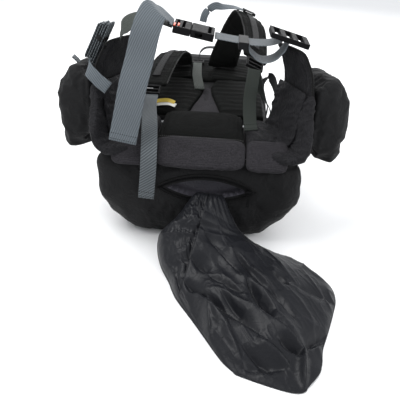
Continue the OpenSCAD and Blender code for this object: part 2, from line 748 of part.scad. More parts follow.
lid_y = y_collar + 0.8;
lid_z = z_back + 6;
module lid() {
    color(cloth_black)
        hull()
            for (s = [-1, 1]) {
                for (z = [z_clear + 8, lid_z - 20]) {
                    translate([s * (lid_w / 2 - 22), lid_y, z]) rotate([-90, 0, 0]) cylinder(h = 6, r = 20);
                    translate([s * (lid_w / 2 - 30), lid_y + lid_len - 6, z])
                        rotate([-90, 0, 0]) cylinder(h = 6, r = 18);
                    ball(s * (lid_w / 2 - 19), lid_y + lid_len / 2, z, 19);
                }
            }
}
LID_STRAP_X = [-70, 70];
module lid_straps() {
    color(web_black)
        for (x = LID_STRAP_X)
            webbing([[[x, lid_y + lid_len - 20, z_clear - 13.3], [1, 0, 0]],
                [[x, lid_y + 20, z_clear - 13.3], [1, 0, 0]], [[x, y_top + 10, z_clear - 12.6], [1, 0, 0]],
                [[x, y_top - 24.4, z_clear - 10], [1, 0, 0]]], 20);
}
module lid_buckles() {
    color(plastic_black)
        for (x = LID_STRAP_X)
            translate([x, y_top - 47, z_clear - 10]) {
                difference() {
                    cube([27, 44, 8], center = true);
                    translate([0, 14, 0]) cube([21, 5, 10], center = true);
                    translate([0, -14, 0]) cube([21, 5, 10], center = true);
                }
                translate([-10, -26, -4]) cube([20, 4.5, 14 - touch]);
            }
}
zip_y = lid_y + lid_len;
module lid_zip() {
    color(web_black) translate([-(lid_w / 2 - 34), zip_y + touch, 118]) cube([lid_w - 68, 2, 12]);
}
lid_slider_x = lid_w / 2 - 46;
module lid_zip_slider() {
    color(plastic_black)
        translate([lid_slider_x - slider_len / 2, zip_y + touch + 2 + run, 119])
            difference() {
                cube([slider_len, 5, 10]);
                translate([-1, 3, 3]) cube([slider_len + 2, 3, 4]);
            }
}
module lid_zip_pull() {
    color(plastic_black)
        translate([lid_slider_x, zip_y + touch + 2 + run + 5 + 1.6, 122]) pull_tab(30);
}

bottom_compartment();
main_bag();
front_pocket();
collar();
pocket_lining();
rain_cover();
base_zip();
base_zip_slider();
base_zip_pull();
frame_sheet();
frame_stays();
back_panel();
back_pad_left();
back_pad_right();
yoke_panel();
back_adjust_strap();
back_adjust_buckle();
size_label();
belt_core();
lumbar_pad();
belt_root_pad_left();
belt_root_pad_right();
shoulder_strap_left();
shoulder_strap_right();
ladder_lock_left();
ladder_lock_right();
shoulder_tail_left();
shoulder_tail_right();
shoulder_webbing_left();
shoulder_webbing_right();
load_lifters();
sternum_strap();
sternum_slider();
haul_loop();
side_straps();
side_buckles();
side_loop_right();
lid();
lid_straps();
lid_buckles();
lid_zip();
lid_zip_slider();
lid_zip_pull();
hip_wing_left();
hip_pocket_left();
pocket_slider_left();
pocket_pull_left();
belt_webbing_left();
belt_tail_left();
strap_bundle_left();
buckle_male();
hip_wing_right();
hip_pocket_right();
pocket_slider_right();
pocket_pull_right();
belt_webbing_right();
belt_loop_right();
belt_slider_right();
belt_keeper();
buckle_female();
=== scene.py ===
# %% [markdown]
# # A trekking rucksack lying on its front
# The rucksack shows its back system, with the base end nearest and the rain cover pulled out.
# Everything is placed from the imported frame, so the first step is to load it. A page of numbers could
# be typed in instead, but places that are read from the frame stay right when the design changes.
# %% Frame
import json
import math

import bmesh
import bpy
import numpy as np
from mathutils import Matrix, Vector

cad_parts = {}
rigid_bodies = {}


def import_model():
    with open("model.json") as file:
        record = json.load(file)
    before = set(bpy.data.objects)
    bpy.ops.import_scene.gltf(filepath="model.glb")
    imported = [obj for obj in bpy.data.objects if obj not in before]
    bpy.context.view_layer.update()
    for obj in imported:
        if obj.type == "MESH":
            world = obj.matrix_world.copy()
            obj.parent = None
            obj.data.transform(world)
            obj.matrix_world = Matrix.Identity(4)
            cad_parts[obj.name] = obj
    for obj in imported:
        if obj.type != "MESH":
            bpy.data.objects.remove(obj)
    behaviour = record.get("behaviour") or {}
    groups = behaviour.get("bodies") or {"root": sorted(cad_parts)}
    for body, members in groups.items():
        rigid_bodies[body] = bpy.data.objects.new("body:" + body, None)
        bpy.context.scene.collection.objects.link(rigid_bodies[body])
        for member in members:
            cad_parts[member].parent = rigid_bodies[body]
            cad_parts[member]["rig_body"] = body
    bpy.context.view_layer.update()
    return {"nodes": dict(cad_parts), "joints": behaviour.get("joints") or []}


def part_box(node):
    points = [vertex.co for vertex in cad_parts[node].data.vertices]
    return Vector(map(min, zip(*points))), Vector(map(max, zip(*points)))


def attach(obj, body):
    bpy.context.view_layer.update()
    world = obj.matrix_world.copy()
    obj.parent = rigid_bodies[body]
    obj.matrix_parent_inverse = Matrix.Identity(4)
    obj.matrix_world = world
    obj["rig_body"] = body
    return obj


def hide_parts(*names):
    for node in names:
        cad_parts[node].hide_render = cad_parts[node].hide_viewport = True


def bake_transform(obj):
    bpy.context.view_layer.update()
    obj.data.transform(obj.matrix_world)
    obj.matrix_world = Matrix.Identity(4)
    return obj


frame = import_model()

MM = 0.001  # the shapes below are worked out in millimetres and made in metres
render_levels = 1  # levels of every Subdivision Surface


def low(node):
    """Lowest corner of a CAD node, in millimetres."""
    return np.array(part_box(node)[0]) / MM


def high(node):
    """Highest corner of a CAD node, in millimetres."""
    return np.array(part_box(node)[1]) / MM


joints = {joint["name"]: joint for joint in frame["joints"]}
y_end, y_join = low("bottom_compartment")[1], high("bottom_compartment")[1]
z_back, y_top = high("main_bag")[2], high("main_bag")[1]
body_half, z_clear = high("main_bag")[0], low("main_bag")[2]
z_panel, z_pad = high("back_panel")[2], high("back_pad_left")[2]
z_core = high("belt_core")[2]
belt_z = z_core - 1
y_belt = (low("belt_core")[1] + high("belt_core")[1]) / 2
mouth = (low("base_zip") + high("base_zip")) / 2
mouth_half = (high("pocket_lining") - low("pocket_lining"))[[0, 2]] / 2
hinge = np.array(joints["hip_wing_right_hinge"]["pos_m"]) / MM
hinge_axis = np.array(joints["hip_wing_right_hinge"]["axis"])
print("base from y", y_end, "to", y_join, "back face at z", z_back, "belt at y", y_belt)

# %% [markdown]
# ## Camera, floor and light
# The rucksack is looked down on from its base end. A long lens keeps the straps nearly parallel, and
# three large soft lamps over a pale floor leave only faint shadows, as in a product picture.
# %% Camera
CAMERA_PLACE = np.array([30.0, -1283.0, 642.0])
CAMERA_DOWN, CAMERA_TURN, CAMERA_ROLL = np.radians([30.0, -1.5, 3.0])
CAMERA_LENS = 49.5


def look_from(place, down, turn, roll):
    """The camera's matrix: forward is the turn about Z and then the tilt down, right is level and is
    then rolled towards up, and the columns are right, up and minus forward."""
    forward = np.array([math.sin(turn) * math.cos(down), math.cos(turn) * math.cos(down), -math.sin(down)])
    level = np.array([math.cos(turn), -math.sin(turn), 0.0])
    upright = np.cross(level, forward)
    right = level * math.cos(roll) + upright * math.sin(roll)
    up = upright * math.cos(roll) - level * math.sin(roll)
    matrix = np.eye(4)
    matrix[:3, :4] = np.stack([right, up, -forward, place * MM], axis=1)
    return Matrix(matrix.tolist())


camera = bpy.data.objects.new("camera", bpy.data.cameras.new("camera"))
bpy.context.scene.collection.objects.link(camera)
camera.matrix_world = look_from(CAMERA_PLACE, CAMERA_DOWN, CAMERA_TURN, CAMERA_ROLL)
camera.data.lens = CAMERA_LENS
camera.data.clip_end = 50
bpy.context.scene.camera = camera
bpy.context.scene.view_settings.view_transform = "Standard"
print("camera at", [round(c, 3) for c in camera.location])

# %% Lamps and sky


def lamp(name, place, aim, size, power):
    """A square area lamp at place, turned towards aim."""
    light = bpy.data.lights.new(name, "AREA")
    light.size, light.energy = size, power
    holder = bpy.data.objects.new(name, light)
    bpy.context.scene.collection.objects.link(holder)
    holder.location = place
    away = Matrix.Translation(place).translation - Matrix.Translation(aim).translation
    holder.rotation_euler = away.to_track_quat("Z", "Y").to_euler()


lamp("key_lamp", (-0.9, -0.5, 1.9), (0, -0.1, 0.15), 1.3, 34)
lamp("fill_lamp", (1.6, -1.3, 1.2), (0, -0.2, 0.2), 1.4, 16)
lamp("rim_lamp", (0.3, 1.7, 1.3), (0, 0.0, 0.2), 1.2, 22)
sky = bpy.data.worlds.new("sky")
sky.use_nodes = True
sky.node_tree.nodes["Background"].inputs["Color"].default_value = (0.95, 0.97, 1, 1)
sky.node_tree.nodes["Background"].inputs["Strength"].default_value = 0.9
bpy.context.scene.world = sky

# %% [markdown]
# ## Arithmetic for surfaces
# Every new shape is a whole array of points: a curve carried along a route, or a height over a grid.
# Modelling each by hand would also work, but arrays can be read, repeated and changed by one number.
# %% Curves


def unit(v):
    """Each vector divided by its own length."""
    return v / np.maximum(np.linalg.norm(v, axis=-1, keepdims=True), 1e-9)


def smooth(values, steps):
    """Catmull-Rom run through the chosen values: each stretch is the cubic that passes through its two
    ends, with a slope at each end of half the step between that end's neighbours."""
    p = np.asarray(values, float)
    p = p[:, None] if p.ndim == 1 else p
    p = np.concatenate([p[:1], p, p[-1:]])
    a, b, c, d = (p[k:len(p) - 3 + k, None] for k in range(4))
    t = np.linspace(0, 1, steps, endpoint=False)[None, :, None]
    run = 0.5 * (2 * b + (c - a) * t + (2 * a - 5 * b + 4 * c - d) * t**2 + (3 * b - a - 3 * c + d) * t**3)
    return np.concatenate([run.reshape(-1, p.shape[1]), p[-2:-1]])


def lengths_along(points):
    """Distance travelled along a run of points, starting at nought."""
    return np.concatenate([[0], np.cumsum(np.linalg.norm(np.diff(points, axis=0), axis=1))])


def even_run(columns, spacing):
    """The smooth run through columns, whose first three are x, y and z, with its points moved along it
    until they are a spacing apart. Other columns are carried along."""
    fine = smooth(columns, 24)
    travelled = lengths_along(fine[:, :3])
    wanted = np.linspace(0, travelled[-1], max(int(travelled[-1] / spacing), 2) + 1)
    return np.stack([np.interp(wanted, travelled, column) for column in fine.T], axis=1), wanted


def frames_along(points, across):
    """Forward, across and face directions at each point: forward is the step between neighbours, across
    is made square to it, and face is their cross product."""
    forward = unit(np.gradient(points, axis=0))
    side = unit(across - forward * np.sum(across * forward, axis=1, keepdims=True))
    return forward, side, np.cross(forward, side)


# %% Noise


def lattice(corner, seed):
    """A fixed number from -1 to 1 for each whole-number corner: its three counts are multiplied by large
    primes, mixed bit by bit, and the last sixteen bits are kept."""
    n = corner[..., 0] * 73856093 ^ corner[..., 1] * 19349663 ^ corner[..., 2] * 83492791 ^ seed * 26544357
    n = (n ^ (n >> 13)) * 1274126177 & 0xFFFFFFFF
    n = (n ^ (n >> 16)) & 0xFFFF
    return n / 32767.5 - 1


def noise(points, size, seed=0):
    """Value noise: the eight lattice numbers round each point, blended by the eased share of the way
    that the point has gone between them. size is the width of one bump, along each axis."""
    q = points / np.asarray(size, float)
    whole = np.floor(q).astype(np.int64)
    share = q - whole
    share = share * share * (3 - 2 * share)
    total = np.zeros(points.shape[:-1])
    for corner in np.ndindex(2, 2, 2):
        weight = np.prod(np.where(np.array(corner) == 1, share, 1 - share), axis=-1)
        total += weight * lattice(whole + np.array(corner), seed)
    return total


def creases(points, size, seed=0, sharp=3):
    """Thin raised lines: one minus the size of the noise, to a power, is highest where noise is nought."""
    return (1 - np.abs(noise(points, size, seed))) ** sharp


def groove(distance, width):
    """A dip of depth one where distance is nought: the bell curve of distance over width."""
    return np.exp(-(distance / width) ** 2)


# %% Meshes


def mesh_object(name, points, faces, uv=None):
    """A smooth-shaded object from points in millimetres, with one (across, along) pair in metres for each
    point as its UV map. Its faces point the way that the order of their corners gives."""
    mesh = bpy.data.meshes.new(name)
    mesh.from_pydata((np.asarray(points) * MM).tolist(), [], faces)
    if uv is not None:
        corner = np.zeros(len(mesh.loops), np.int32)
        mesh.loops.foreach_get("vertex_index", corner)
        layer = mesh.uv_layers.new(name="UVMap")
        layer.data.foreach_set("uv", (np.asarray(uv) * MM)[corner].astype(np.float32).ravel())
    mesh.shade_smooth()
    piece = bpy.data.objects.new(name, mesh)
    bpy.context.scene.collection.objects.link(piece)
    return piece


def face_outward(piece):
    """Turns every face of a closed piece outward."""
    work = bmesh.new()
    work.from_mesh(piece.data)
    bmesh.ops.recalc_face_normals(work, faces=work.faces)
    work.to_mesh(piece.data)
    work.free()
    return piece


def grid_faces(rows, columns, wrap):
    """Four-cornered faces between neighbours of a grid, whose last column meets the first if it wraps."""
    i, j = np.meshgrid(np.arange(rows - 1), np.arange(columns if wrap else columns - 1), indexing="ij")
    k = (j + 1) % columns
    corners = [i * columns + j, i * columns + k, (i + 1) * columns + k, (i + 1) * columns + j]
    return np.stack(corners, axis=-1).reshape(-1, 4).tolist()


def tube_object(name, grid, uv=None):
    """A skin over rings of points (rings x points round x 3), with its two ends closed by flat faces."""
    rows, columns = grid.shape[:2]
    faces = grid_faces(rows, columns, True)
    faces += [list(range(columns)), list(range((rows - 1) * columns, rows * columns))]
    flat_uv = None if uv is None else uv.reshape(-1, 2)
    return face_outward(mesh_object(name, grid.reshape(-1, 3), faces, flat_uv))


def scatter(name, shape, faces, centres, first, second, third):
    """Copies of one small shape: each of its corners goes to the centre plus its three numbers times the
    three directions there."""
    corners = centres[:, None] + sum(shape[None, :, k, None] * d[:, None]
                                     for k, d in enumerate([first, second, third]))
    start = np.arange(len(centres))[:, None, None] * len(shape)
    index = (start + np.array(faces)[None]).reshape(-1, len(faces[0]))
    return face_outward(mesh_object(name, corners.reshape(-1, 3), index.tolist()))


def join(name, pieces):
    """Several new pieces of one material each as one piece, with their materials and UV maps."""
    materials = list(dict.fromkeys(finish for piece in pieces for finish in piece.data.materials))
    numbers = [materials.index(piece.data.materials[0]) if materials else 0 for piece in pieces]
    counts = [len(piece.data.polygons) for piece in pieces]
    work = bmesh.new()
    for piece in pieces:
        work.from_mesh(piece.data)
    mesh = bpy.data.meshes.new(name)
    work.to_mesh(mesh)
    work.free()
    for finish in materials:
        mesh.materials.append(finish)
    mesh.polygons.foreach_set("material_index", np.repeat(numbers, counts).astype(np.int32))
    for piece in pieces:
        bpy.data.objects.remove(piece)
    whole = bpy.data.objects.new(name, mesh)
    bpy.context.scene.collection.objects.link(whole)
    return whole


def settle(piece, body, material=None, replaces=()):
    """Gives a finished piece its material and its body, and hides the CAD nodes that it stands for."""
    if material is not None:
        piece.data.materials.clear()
        piece.data.materials.append(material)
    if body is not None:
        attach(piece, body)
    if replaces:
        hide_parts(*replaces)
    return piece


print("surface arithmetic, noise and mesh helpers are ready")

# %% [markdown]
# ## Finishes
# Cloth, mesh, webbing and plastic differ in their weave, sheen and wear more than in their colour.
# The effects that several finishes share are node groups, built once, with the size of each pattern as
# an input. They read Object coordinates on padded cloth, and the UV map on webbing, whose ribs follow
# the strap. Picture textures would show the same, but nodes stay sharp at any distance.
# %% Node helpers


def add(tree, kind, inputs=None, **settings):
    """A node of that kind. inputs gives each socket, by name or number, a value or another's output."""
    node = tree.nodes.new("ShaderNode" + kind)
    for key, value in settings.items():
        setattr(node, key, value)
    for key, value in (inputs or {}).items():
        if isinstance(value, bpy.types.NodeSocket):
            tree.links.new(value, node.inputs[key])
        else:
            node.inputs[key].default_value = value
    return node


def shader_group(name, inputs, outputs):
    """An empty node group with those sockets: (name, type, starting value)."""
    tree = bpy.data.node_groups.new(name, "ShaderNodeTree")
    for label, kind, value in inputs:
        socket = tree.interface.new_socket(name=label, in_out="INPUT", socket_type="NodeSocket" + kind)
        if value is not None:
            socket.default_value = value
    for label, kind in outputs:
        tree.interface.new_socket(name=label, in_out="OUTPUT", socket_type="NodeSocket" + kind)
    return tree, tree.nodes.new("NodeGroupInput").outputs, tree.nodes.new("NodeGroupOutput").inputs


def maths(tree, operation, a, b=0.0):
    """The output of one Math node."""
    return add(tree, "Math", {0: a, 1: b}, operation=operation).outputs[0]


# %% Shared effects
FULL_TURN = 6.2832
WARP_THREADS = 5200.0  # how fast the lengthwise threads follow each other across a strap, in radians a metre
tree, given, result = shader_group(
    "webbing weave",
    [("Vector", "Vector", None), ("Rib", "Float", 0.0016), ("Slant", "Float", 0.6)],
    [("Height", "Float"), ("Painted rib shade", "Float")])
across_along = add(tree, "SeparateXYZ", {0: given["Vector"]}).outputs
leaning = maths(tree, "ADD", across_along[1], maths(tree, "MULTIPLY", across_along[0], given["Slant"]))
rib = maths(tree, "SINE", maths(tree, "DIVIDE", leaning, maths(tree, "DIVIDE", given["Rib"], FULL_TURN)))
warp = maths(tree, "SINE", maths(tree, "MULTIPLY", across_along[0], WARP_THREADS))
tree.links.new(maths(tree, "ADD", maths(tree, "MULTIPLY", rib, 0.5), maths(tree, "MULTIPLY", warp, 0.3)),
               result["Height"])
# This output is lighter on each rib's crest and darker in its trough: a painted highlight and painted shade
# that follow the bump.
tree.links.new(maths(tree, "ADD", maths(tree, "MULTIPLY", rib, 0.5), 0.5), result["Painted rib shade"])
webbing_weave = tree

tree, given, result = shader_group(
    "cloth grain",
    [("Vector", "Vector", None), ("Thread", "Float", 900.0), ("Crinkle", "Float", 45.0)],
    [("Thread", "Float"), ("Crinkle", "Float"), ("Patch", "Float")])
threads = add(tree, "TexNoise", {"Vector": given["Vector"], "Scale": given["Thread"], "Detail": 1.0})
folds = add(tree, "TexNoise", {"Vector": given["Vector"], "Scale": given["Crinkle"], "Detail": 5.0,
                               "Roughness": 0.55, "Distortion": 0.6})
patches = add(tree, "TexNoise", {"Vector": given["Vector"], "Scale": 9.0, "Detail": 3.0})
ridge = maths(tree, "ABSOLUTE", maths(tree, "SUBTRACT", folds.outputs["Fac"], 0.5))
tree.links.new(threads.outputs["Fac"], result["Thread"])
tree.links.new(maths(tree, "SUBTRACT", 1.0, maths(tree, "MULTIPLY", ridge, 5.0)), result["Crinkle"])
tree.links.new(patches.outputs["Fac"], result["Patch"])
cloth_grain = tree

tree, given, result = shader_group(
    "open mesh", [("Vector", "Vector", None), ("Cells", "Float", 420.0)],
    [("Height", "Float"), ("Hole", "Float")])
cells = add(tree, "TexVoronoi", {"Vector": given["Vector"], "Scale": given["Cells"], "Randomness": 0.35})
hole = add(tree, "MapRange", {"Value": cells.outputs["Distance"], "From Min": 0.15, "From Max": 0.5})
tree.links.new(hole.outputs[0], result["Height"])
tree.links.new(maths(tree, "SUBTRACT", 1.0, hole.outputs[0]), result["Hole"])
open_mesh = tree
print("shared effects:", [group.name for group in bpy.data.node_groups])

# %% Material builder


def material(name, roughness, sheen=0.0, gloss=0.16, coat=0.0, metallic=0.0):
    """A material with one Principled BSDF, whose constants are on its own sockets."""
    made = bpy.data.materials.new(name)
    made.use_nodes = True
    shader = made.node_tree.nodes["Principled BSDF"]
    shader.inputs["Roughness"].default_value = roughness
    shader.inputs["Sheen Weight"].default_value = sheen
    shader.inputs["Sheen Roughness"].default_value = 0.45
    shader.inputs["Specular IOR Level"].default_value = gloss
    shader.inputs["Coat Weight"].default_value = coat
    shader.inputs["Metallic"].default_value = metallic
    return made, made.node_tree, shader


def blend_colours(tree, share, dark, light):
    """The colour that goes from dark to light as share goes from nought to one."""
    mix = add(tree, "Mix", {0: share}, data_type="RGBA")
    mix.inputs[6].default_value = (*dark, 1)
    mix.inputs[7].default_value = (*light, 1)
    return mix.outputs[2]


def bumped(tree, shader, height, distance, strength=1.0, under=None):
    """A Bump node that feeds Normal, or another Bump's Normal when under is given."""
    inputs = {"Height": height, "Distance": distance, "Strength": strength}
    if under is not None:
        inputs["Normal"] = under
    node = add(tree, "Bump", inputs)
    tree.links.new(node.outputs[0], shader.inputs["Normal"])
    return node.outputs[0]


def use_group(tree, group, **inputs):
    """A shared effect placed in a material."""
    node = tree.nodes.new("ShaderNodeGroup")
    node.node_tree = group
    for label, value in inputs.items():
        socket = node.inputs[label]
        if isinstance(value, bpy.types.NodeSocket):
            tree.links.new(value, socket)
        else:
            socket.default_value = value
    return node.outputs


def cloth(name, dark, light, roughness, thread, crinkle, thread_depth, crinkle_depth, **finish):
    """Woven cloth: patches between its two colours, fine threads and soft crinkles in its bump."""
    made, tree, shader = material(name, roughness, **finish)
    here = add(tree, "TexCoord").outputs["Object"]
    grain = use_group(tree, cloth_grain, Vector=here, Thread=thread, Crinkle=crinkle)
    share = maths(tree, "ADD", maths(tree, "MULTIPLY", grain["Patch"], 0.7),
                  maths(tree, "MULTIPLY", grain["Thread"], 0.5))
    tree.links.new(blend_colours(tree, share, dark, light), shader.inputs["Base Color"])
    rough = add(tree, "MapRange", {"Value": grain["Patch"], "To Min": roughness - 0.08,
                                   "To Max": roughness + 0.1})
    tree.links.new(rough.outputs[0], shader.inputs["Roughness"])
    first = bumped(tree, shader, grain["Thread"], thread_depth)
    bumped(tree, shader, grain["Crinkle"], crinkle_depth, under=first)
    return made


def mesh_cloth(name, dark, light, roughness, cells, depth, crinkle_depth=0.0004, **finish):
    """Spacer mesh: small round holes between threads, with heathered patches and soft crinkles."""
    made, tree, shader = material(name, roughness, **finish)
    here = add(tree, "TexCoord").outputs["Object"]
    holes = use_group(tree, open_mesh, Vector=here, Cells=cells)
    grain = use_group(tree, cloth_grain, Vector=here, Thread=520.0, Crinkle=60.0)
    share = maths(tree, "MULTIPLY", holes["Height"], maths(tree, "ADD", 0.25, grain["Thread"]))
    tree.links.new(blend_colours(tree, share, dark, light), shader.inputs["Base Color"])
    first = bumped(tree, shader, holes["Height"], depth)
    bumped(tree, shader, grain["Crinkle"], crinkle_depth, under=first)
    return made


def strap(name, dark, light, rib=0.0016, slant=0.6, roughness=0.62):
    """Webbing: slanted ribs and lengthwise threads along the strap's own UV map, in two shades that follow
    the ribs: lighter on each crest as a painted highlight, and darker between them as painted shade.
    """
    made, tree, shader = material(name, roughness, sheen=0.03, gloss=0.12)
    here = add(tree, "UVMap").outputs["UV"]
    weave = use_group(tree, webbing_weave, Vector=here, Rib=rib, Slant=slant)
    grain = use_group(tree, cloth_grain, Vector=add(tree, "TexCoord").outputs["Object"], Thread=700.0)
    # The colour is mostly the painted rib shade, with light crests and dark troughs, plus random patches.
    share = maths(tree, "ADD", maths(tree, "MULTIPLY", weave["Painted rib shade"], 0.75),
                  maths(tree, "MULTIPLY", grain["Patch"], 0.3))
    tree.links.new(blend_colours(tree, share, dark, light), shader.inputs["Base Color"])
    first = bumped(tree, shader, weave["Height"], 0.0004)
    bumped(tree, shader, grain["Thread"], 0.0001, under=first)
    return made


def moulded(name, dark, light, roughness, grain_size=1500.0, depth=0.00004, **finish):
    """Moulded plastic or metal: a fine grain, and faint scuffs that change its gloss."""
    made, tree, shader = material(name, roughness, **finish)
    here = add(tree, "TexCoord").outputs["Object"]
    grain = use_group(tree, cloth_grain, Vector=here, Thread=grain_size, Crinkle=130.0)
    tree.links.new(blend_colours(tree, grain["Patch"], dark, light), shader.inputs["Base Color"])
    rough = add(tree, "MapRange", {"Value": grain["Crinkle"], "To Min": roughness - 0.07,
                                   "To Max": roughness + 0.12})
    tree.links.new(rough.outputs[0], shader.inputs["Roughness"])
    bumped(tree, shader, grain["Thread"], depth)
    return made


# %% The rucksack's own finishes
PACK_CLOTH = cloth("pack_cloth", (0.0035, 0.0035, 0.0038), (0.0115, 0.0115, 0.0122), 0.74, 1500.0, 42.0,
                   0.00012, 0.0011, sheen=0.02, gloss=0.15)
COVER_NYLON = cloth("cover_nylon", (0.0042, 0.0045, 0.0058), (0.0095, 0.0101, 0.0128), 0.4, 2400.0, 50.0,
                    0.00004, 0.0003, sheen=0.01, gloss=0.2)
LINING = cloth("lining_cloth", (0.035, 0.034, 0.042), (0.1, 0.096, 0.115), 0.5, 1800.0, 70.0,
               0.00006, 0.0008, sheen=0.04, gloss=0.3)
SPACER_MESH = mesh_cloth("spacer_mesh", (0.001, 0.001, 0.001), (0.0085, 0.009, 0.0085), 0.88, 430.0,
                         0.0006, sheen=0.01, gloss=0.05)
HEATHER_MESH = mesh_cloth("heather_mesh", (0.0045, 0.0044, 0.005), (0.036, 0.034, 0.038), 0.88, 520.0,
                          0.0005, sheen=0.03, gloss=0.07)
WING_MESH = mesh_cloth("wing_mesh", (0.002, 0.002, 0.0023), (0.017, 0.0166, 0.019), 0.7, 380.0,
                       0.0007, 0.0015, sheen=0.02, gloss=0.14)
WEBBING_GREY = strap("webbing_grey", (0.036, 0.042, 0.046), (0.128, 0.142, 0.152), rib=0.0058, slant=0.8)
WEBBING_OLIVE = strap("webbing_olive", (0.024, 0.029, 0.025), (0.062, 0.07, 0.063), rib=0.0022)
WEBBING_PALE = strap("webbing_pale", (0.06, 0.07, 0.078), (0.135, 0.154, 0.17), rib=0.018, slant=4.6)
WEBBING_BLACK = strap("webbing_black", (0.0025, 0.0025, 0.0028), (0.008, 0.008, 0.0088), rib=0.002, slant=0.3)
BLACK_PLASTIC = moulded("black_plastic", (0.003, 0.003, 0.0032), (0.008, 0.008, 0.0085), 0.55, gloss=0.06)
GREY_PLASTIC = moulded("grey_plastic", (0.055, 0.068, 0.076), (0.085, 0.1, 0.11), 0.42, gloss=0.3)
ACCENT_PLASTIC = moulded("accent_plastic", (0.45, 0.05, 0.02), (0.62, 0.09, 0.035), 0.4, gloss=0.3)
FRAME_PLASTIC = moulded("frame_plastic", (0.5, 0.51, 0.53), (0.62, 0.63, 0.65), 0.5, gloss=0.5)
STAY_METAL = moulded("stay_aluminium", (0.6, 0.61, 0.62), (0.75, 0.76, 0.77), 0.34, metallic=1.0, gloss=0.5)
ZIP_TAPE = strap("zip_tape", (0.004, 0.004, 0.004), (0.012, 0.012, 0.013), rib=0.0012, slant=0.0)
PIPING = strap("piping", (0.003, 0.003, 0.003), (0.009, 0.009, 0.009), rib=0.0011, slant=1.2)
LABEL_WHITE = cloth("label_white", (0.5, 0.5, 0.46), (0.72, 0.72, 0.68), 0.6, 1800.0, 60.0, 0.00005, 0.0003)
LABEL_YELLOW = cloth("label_yellow", (0.5, 0.36, 0.05), (0.7, 0.52, 0.1), 0.6, 1800.0, 60.0, 0.00005, 0.0003)
THREAD_PALE = moulded("thread_pale", (0.06, 0.06, 0.06), (0.12, 0.12, 0.115), 0.85)
THREAD_DARK = moulded("thread_dark", (0.003, 0.003, 0.003), (0.008, 0.008, 0.008), 0.85)
FLOOR_PAPER = moulded("floor_paper", (0.87, 0.87, 0.87), (0.9, 0.9, 0.9), 0.85)
print(len(bpy.data.materials), "materials")

# %% Floor
FLOOR_HALF, FLOOR_POINTS = 6000.0, 5
steps = np.linspace(-FLOOR_HALF, FLOOR_HALF, FLOOR_POINTS)
floor_grid = np.stack(np.meshgrid(steps, steps, [0.0], indexing="ij"), axis=-1).reshape(-1, 3)
floor = mesh_object("floor", floor_grid, grid_faces(FLOOR_POINTS, FLOOR_POINTS, False))
floor.data.materials.append(FLOOR_PAPER)
print("floor of", 2 * FLOOR_HALF * MM, "m")

# %% [markdown]
# ## Padded cloth from the frame's solids
# The bag, the pockets and the lid are stuffed cloth. A copy of the CAD solid gives their size; it is
# remeshed into even quads, blown up a little as cloth, and then creased by noise, so that it sags and
# puckers as a filled bag does. The solid by itself would look like moulded plastic.
# %% Soft copies


SAME_PLACE = 0.00002  # corners of a solid this near to each other, in metres, are one corner
CLOTH_FRAMES = 20


def evaluated(piece):
    """The piece's mesh with its modifiers worked out, in place of its own, and the modifiers gone."""
    graph = bpy.context.evaluated_depsgraph_get()
    made = bpy.data.meshes.new_from_object(piece.evaluated_get(graph))
    piece.modifiers.clear()
    piece.data = made
    made.shade_smooth()
    return piece


def soft_copy(name, node, voxel, rounds=6):
    """A new piece with the shape of a CAD node, in quads one voxel wide (in millimetres), its edges
    eased by averaging each point with its neighbours."""
    work = bmesh.new()
    work.from_mesh(frame["nodes"][node].data)
    bmesh.ops.remove_doubles(work, verts=work.verts, dist=SAME_PLACE)
    mesh = bpy.data.meshes.new(name)
    work.to_mesh(mesh)
    work.free()
    piece = bpy.data.objects.new(name, mesh)
    bpy.context.scene.collection.objects.link(piece)
    remesh = piece.modifiers.new("remesh", "REMESH")
    remesh.mode, remesh.voxel_size = "VOXEL", voxel * MM
    ease = piece.modifiers.new("ease", "SMOOTH")
    ease.iterations, ease.factor = rounds, 0.5
    return evaluated(piece)


def points_of(piece):
    """The piece's points in millimetres, and the directions outward from them."""
    count = len(piece.data.vertices)
    points, outward = np.zeros(count * 3), np.zeros(count * 3)
    piece.data.vertices.foreach_get("co", points)
    piece.data.vertex_normals.foreach_get("vector", outward)
    return points.reshape(-1, 3) / MM, outward.reshape(-1, 3)


def move_points(piece, points):
    """Puts the piece's points at these places, in millimetres."""
    piece.data.vertices.foreach_set("co", (points * MM).astype(np.float32).ravel())
    piece.data.update()
    return piece


def puff(piece, pressure, slack, cap, held=None, stiffness=12.0):
    """Blows the piece up as cloth, which is longer than the shape by slack so that it buckles, with no
    point moved further than cap. held is each point's share of holding still."""
    start, _ = points_of(piece)
    sim = piece.modifiers.new("cloth", "CLOTH")
    settings = sim.settings
    settings.quality, settings.mass = 4, 0.25
    settings.tension_stiffness = settings.compression_stiffness = stiffness
    settings.shear_stiffness, settings.bending_stiffness = 4.0, 0.15
    settings.use_pressure, settings.uniform_pressure_force = True, pressure
    settings.shrink_min = -slack
    settings.effector_weights.gravity = 0
    sim.collision_settings.use_collision = False
    if held is not None:
        group = piece.vertex_groups.new(name="held")
        levels = np.round(held, 1)
        for level in np.unique(levels[levels > 0]):
            group.add(np.flatnonzero(levels == level).tolist(), float(level), "REPLACE")
        settings.vertex_group_mass = "held"
    sim.point_cache.frame_start, sim.point_cache.frame_end = 1, CLOTH_FRAMES
    for number in range(1, CLOTH_FRAMES + 1):
        bpy.context.scene.frame_set(number)
    evaluated(piece)
    bpy.context.scene.frame_set(1)
    moved, _ = points_of(piece)
    step = moved - start
    length = np.linalg.norm(step, axis=1, keepdims=True)
    piece.vertex_groups.clear()
    return move_points(piece, start + step * np.minimum(1, cap / np.maximum(length, 1e-6)))


def push(piece, depth):
    """Moves every point outward by depth, a function of the points and their outward directions."""
    points, outward = points_of(piece)
    return move_points(piece, points + outward * depth(points, outward)[:, None])


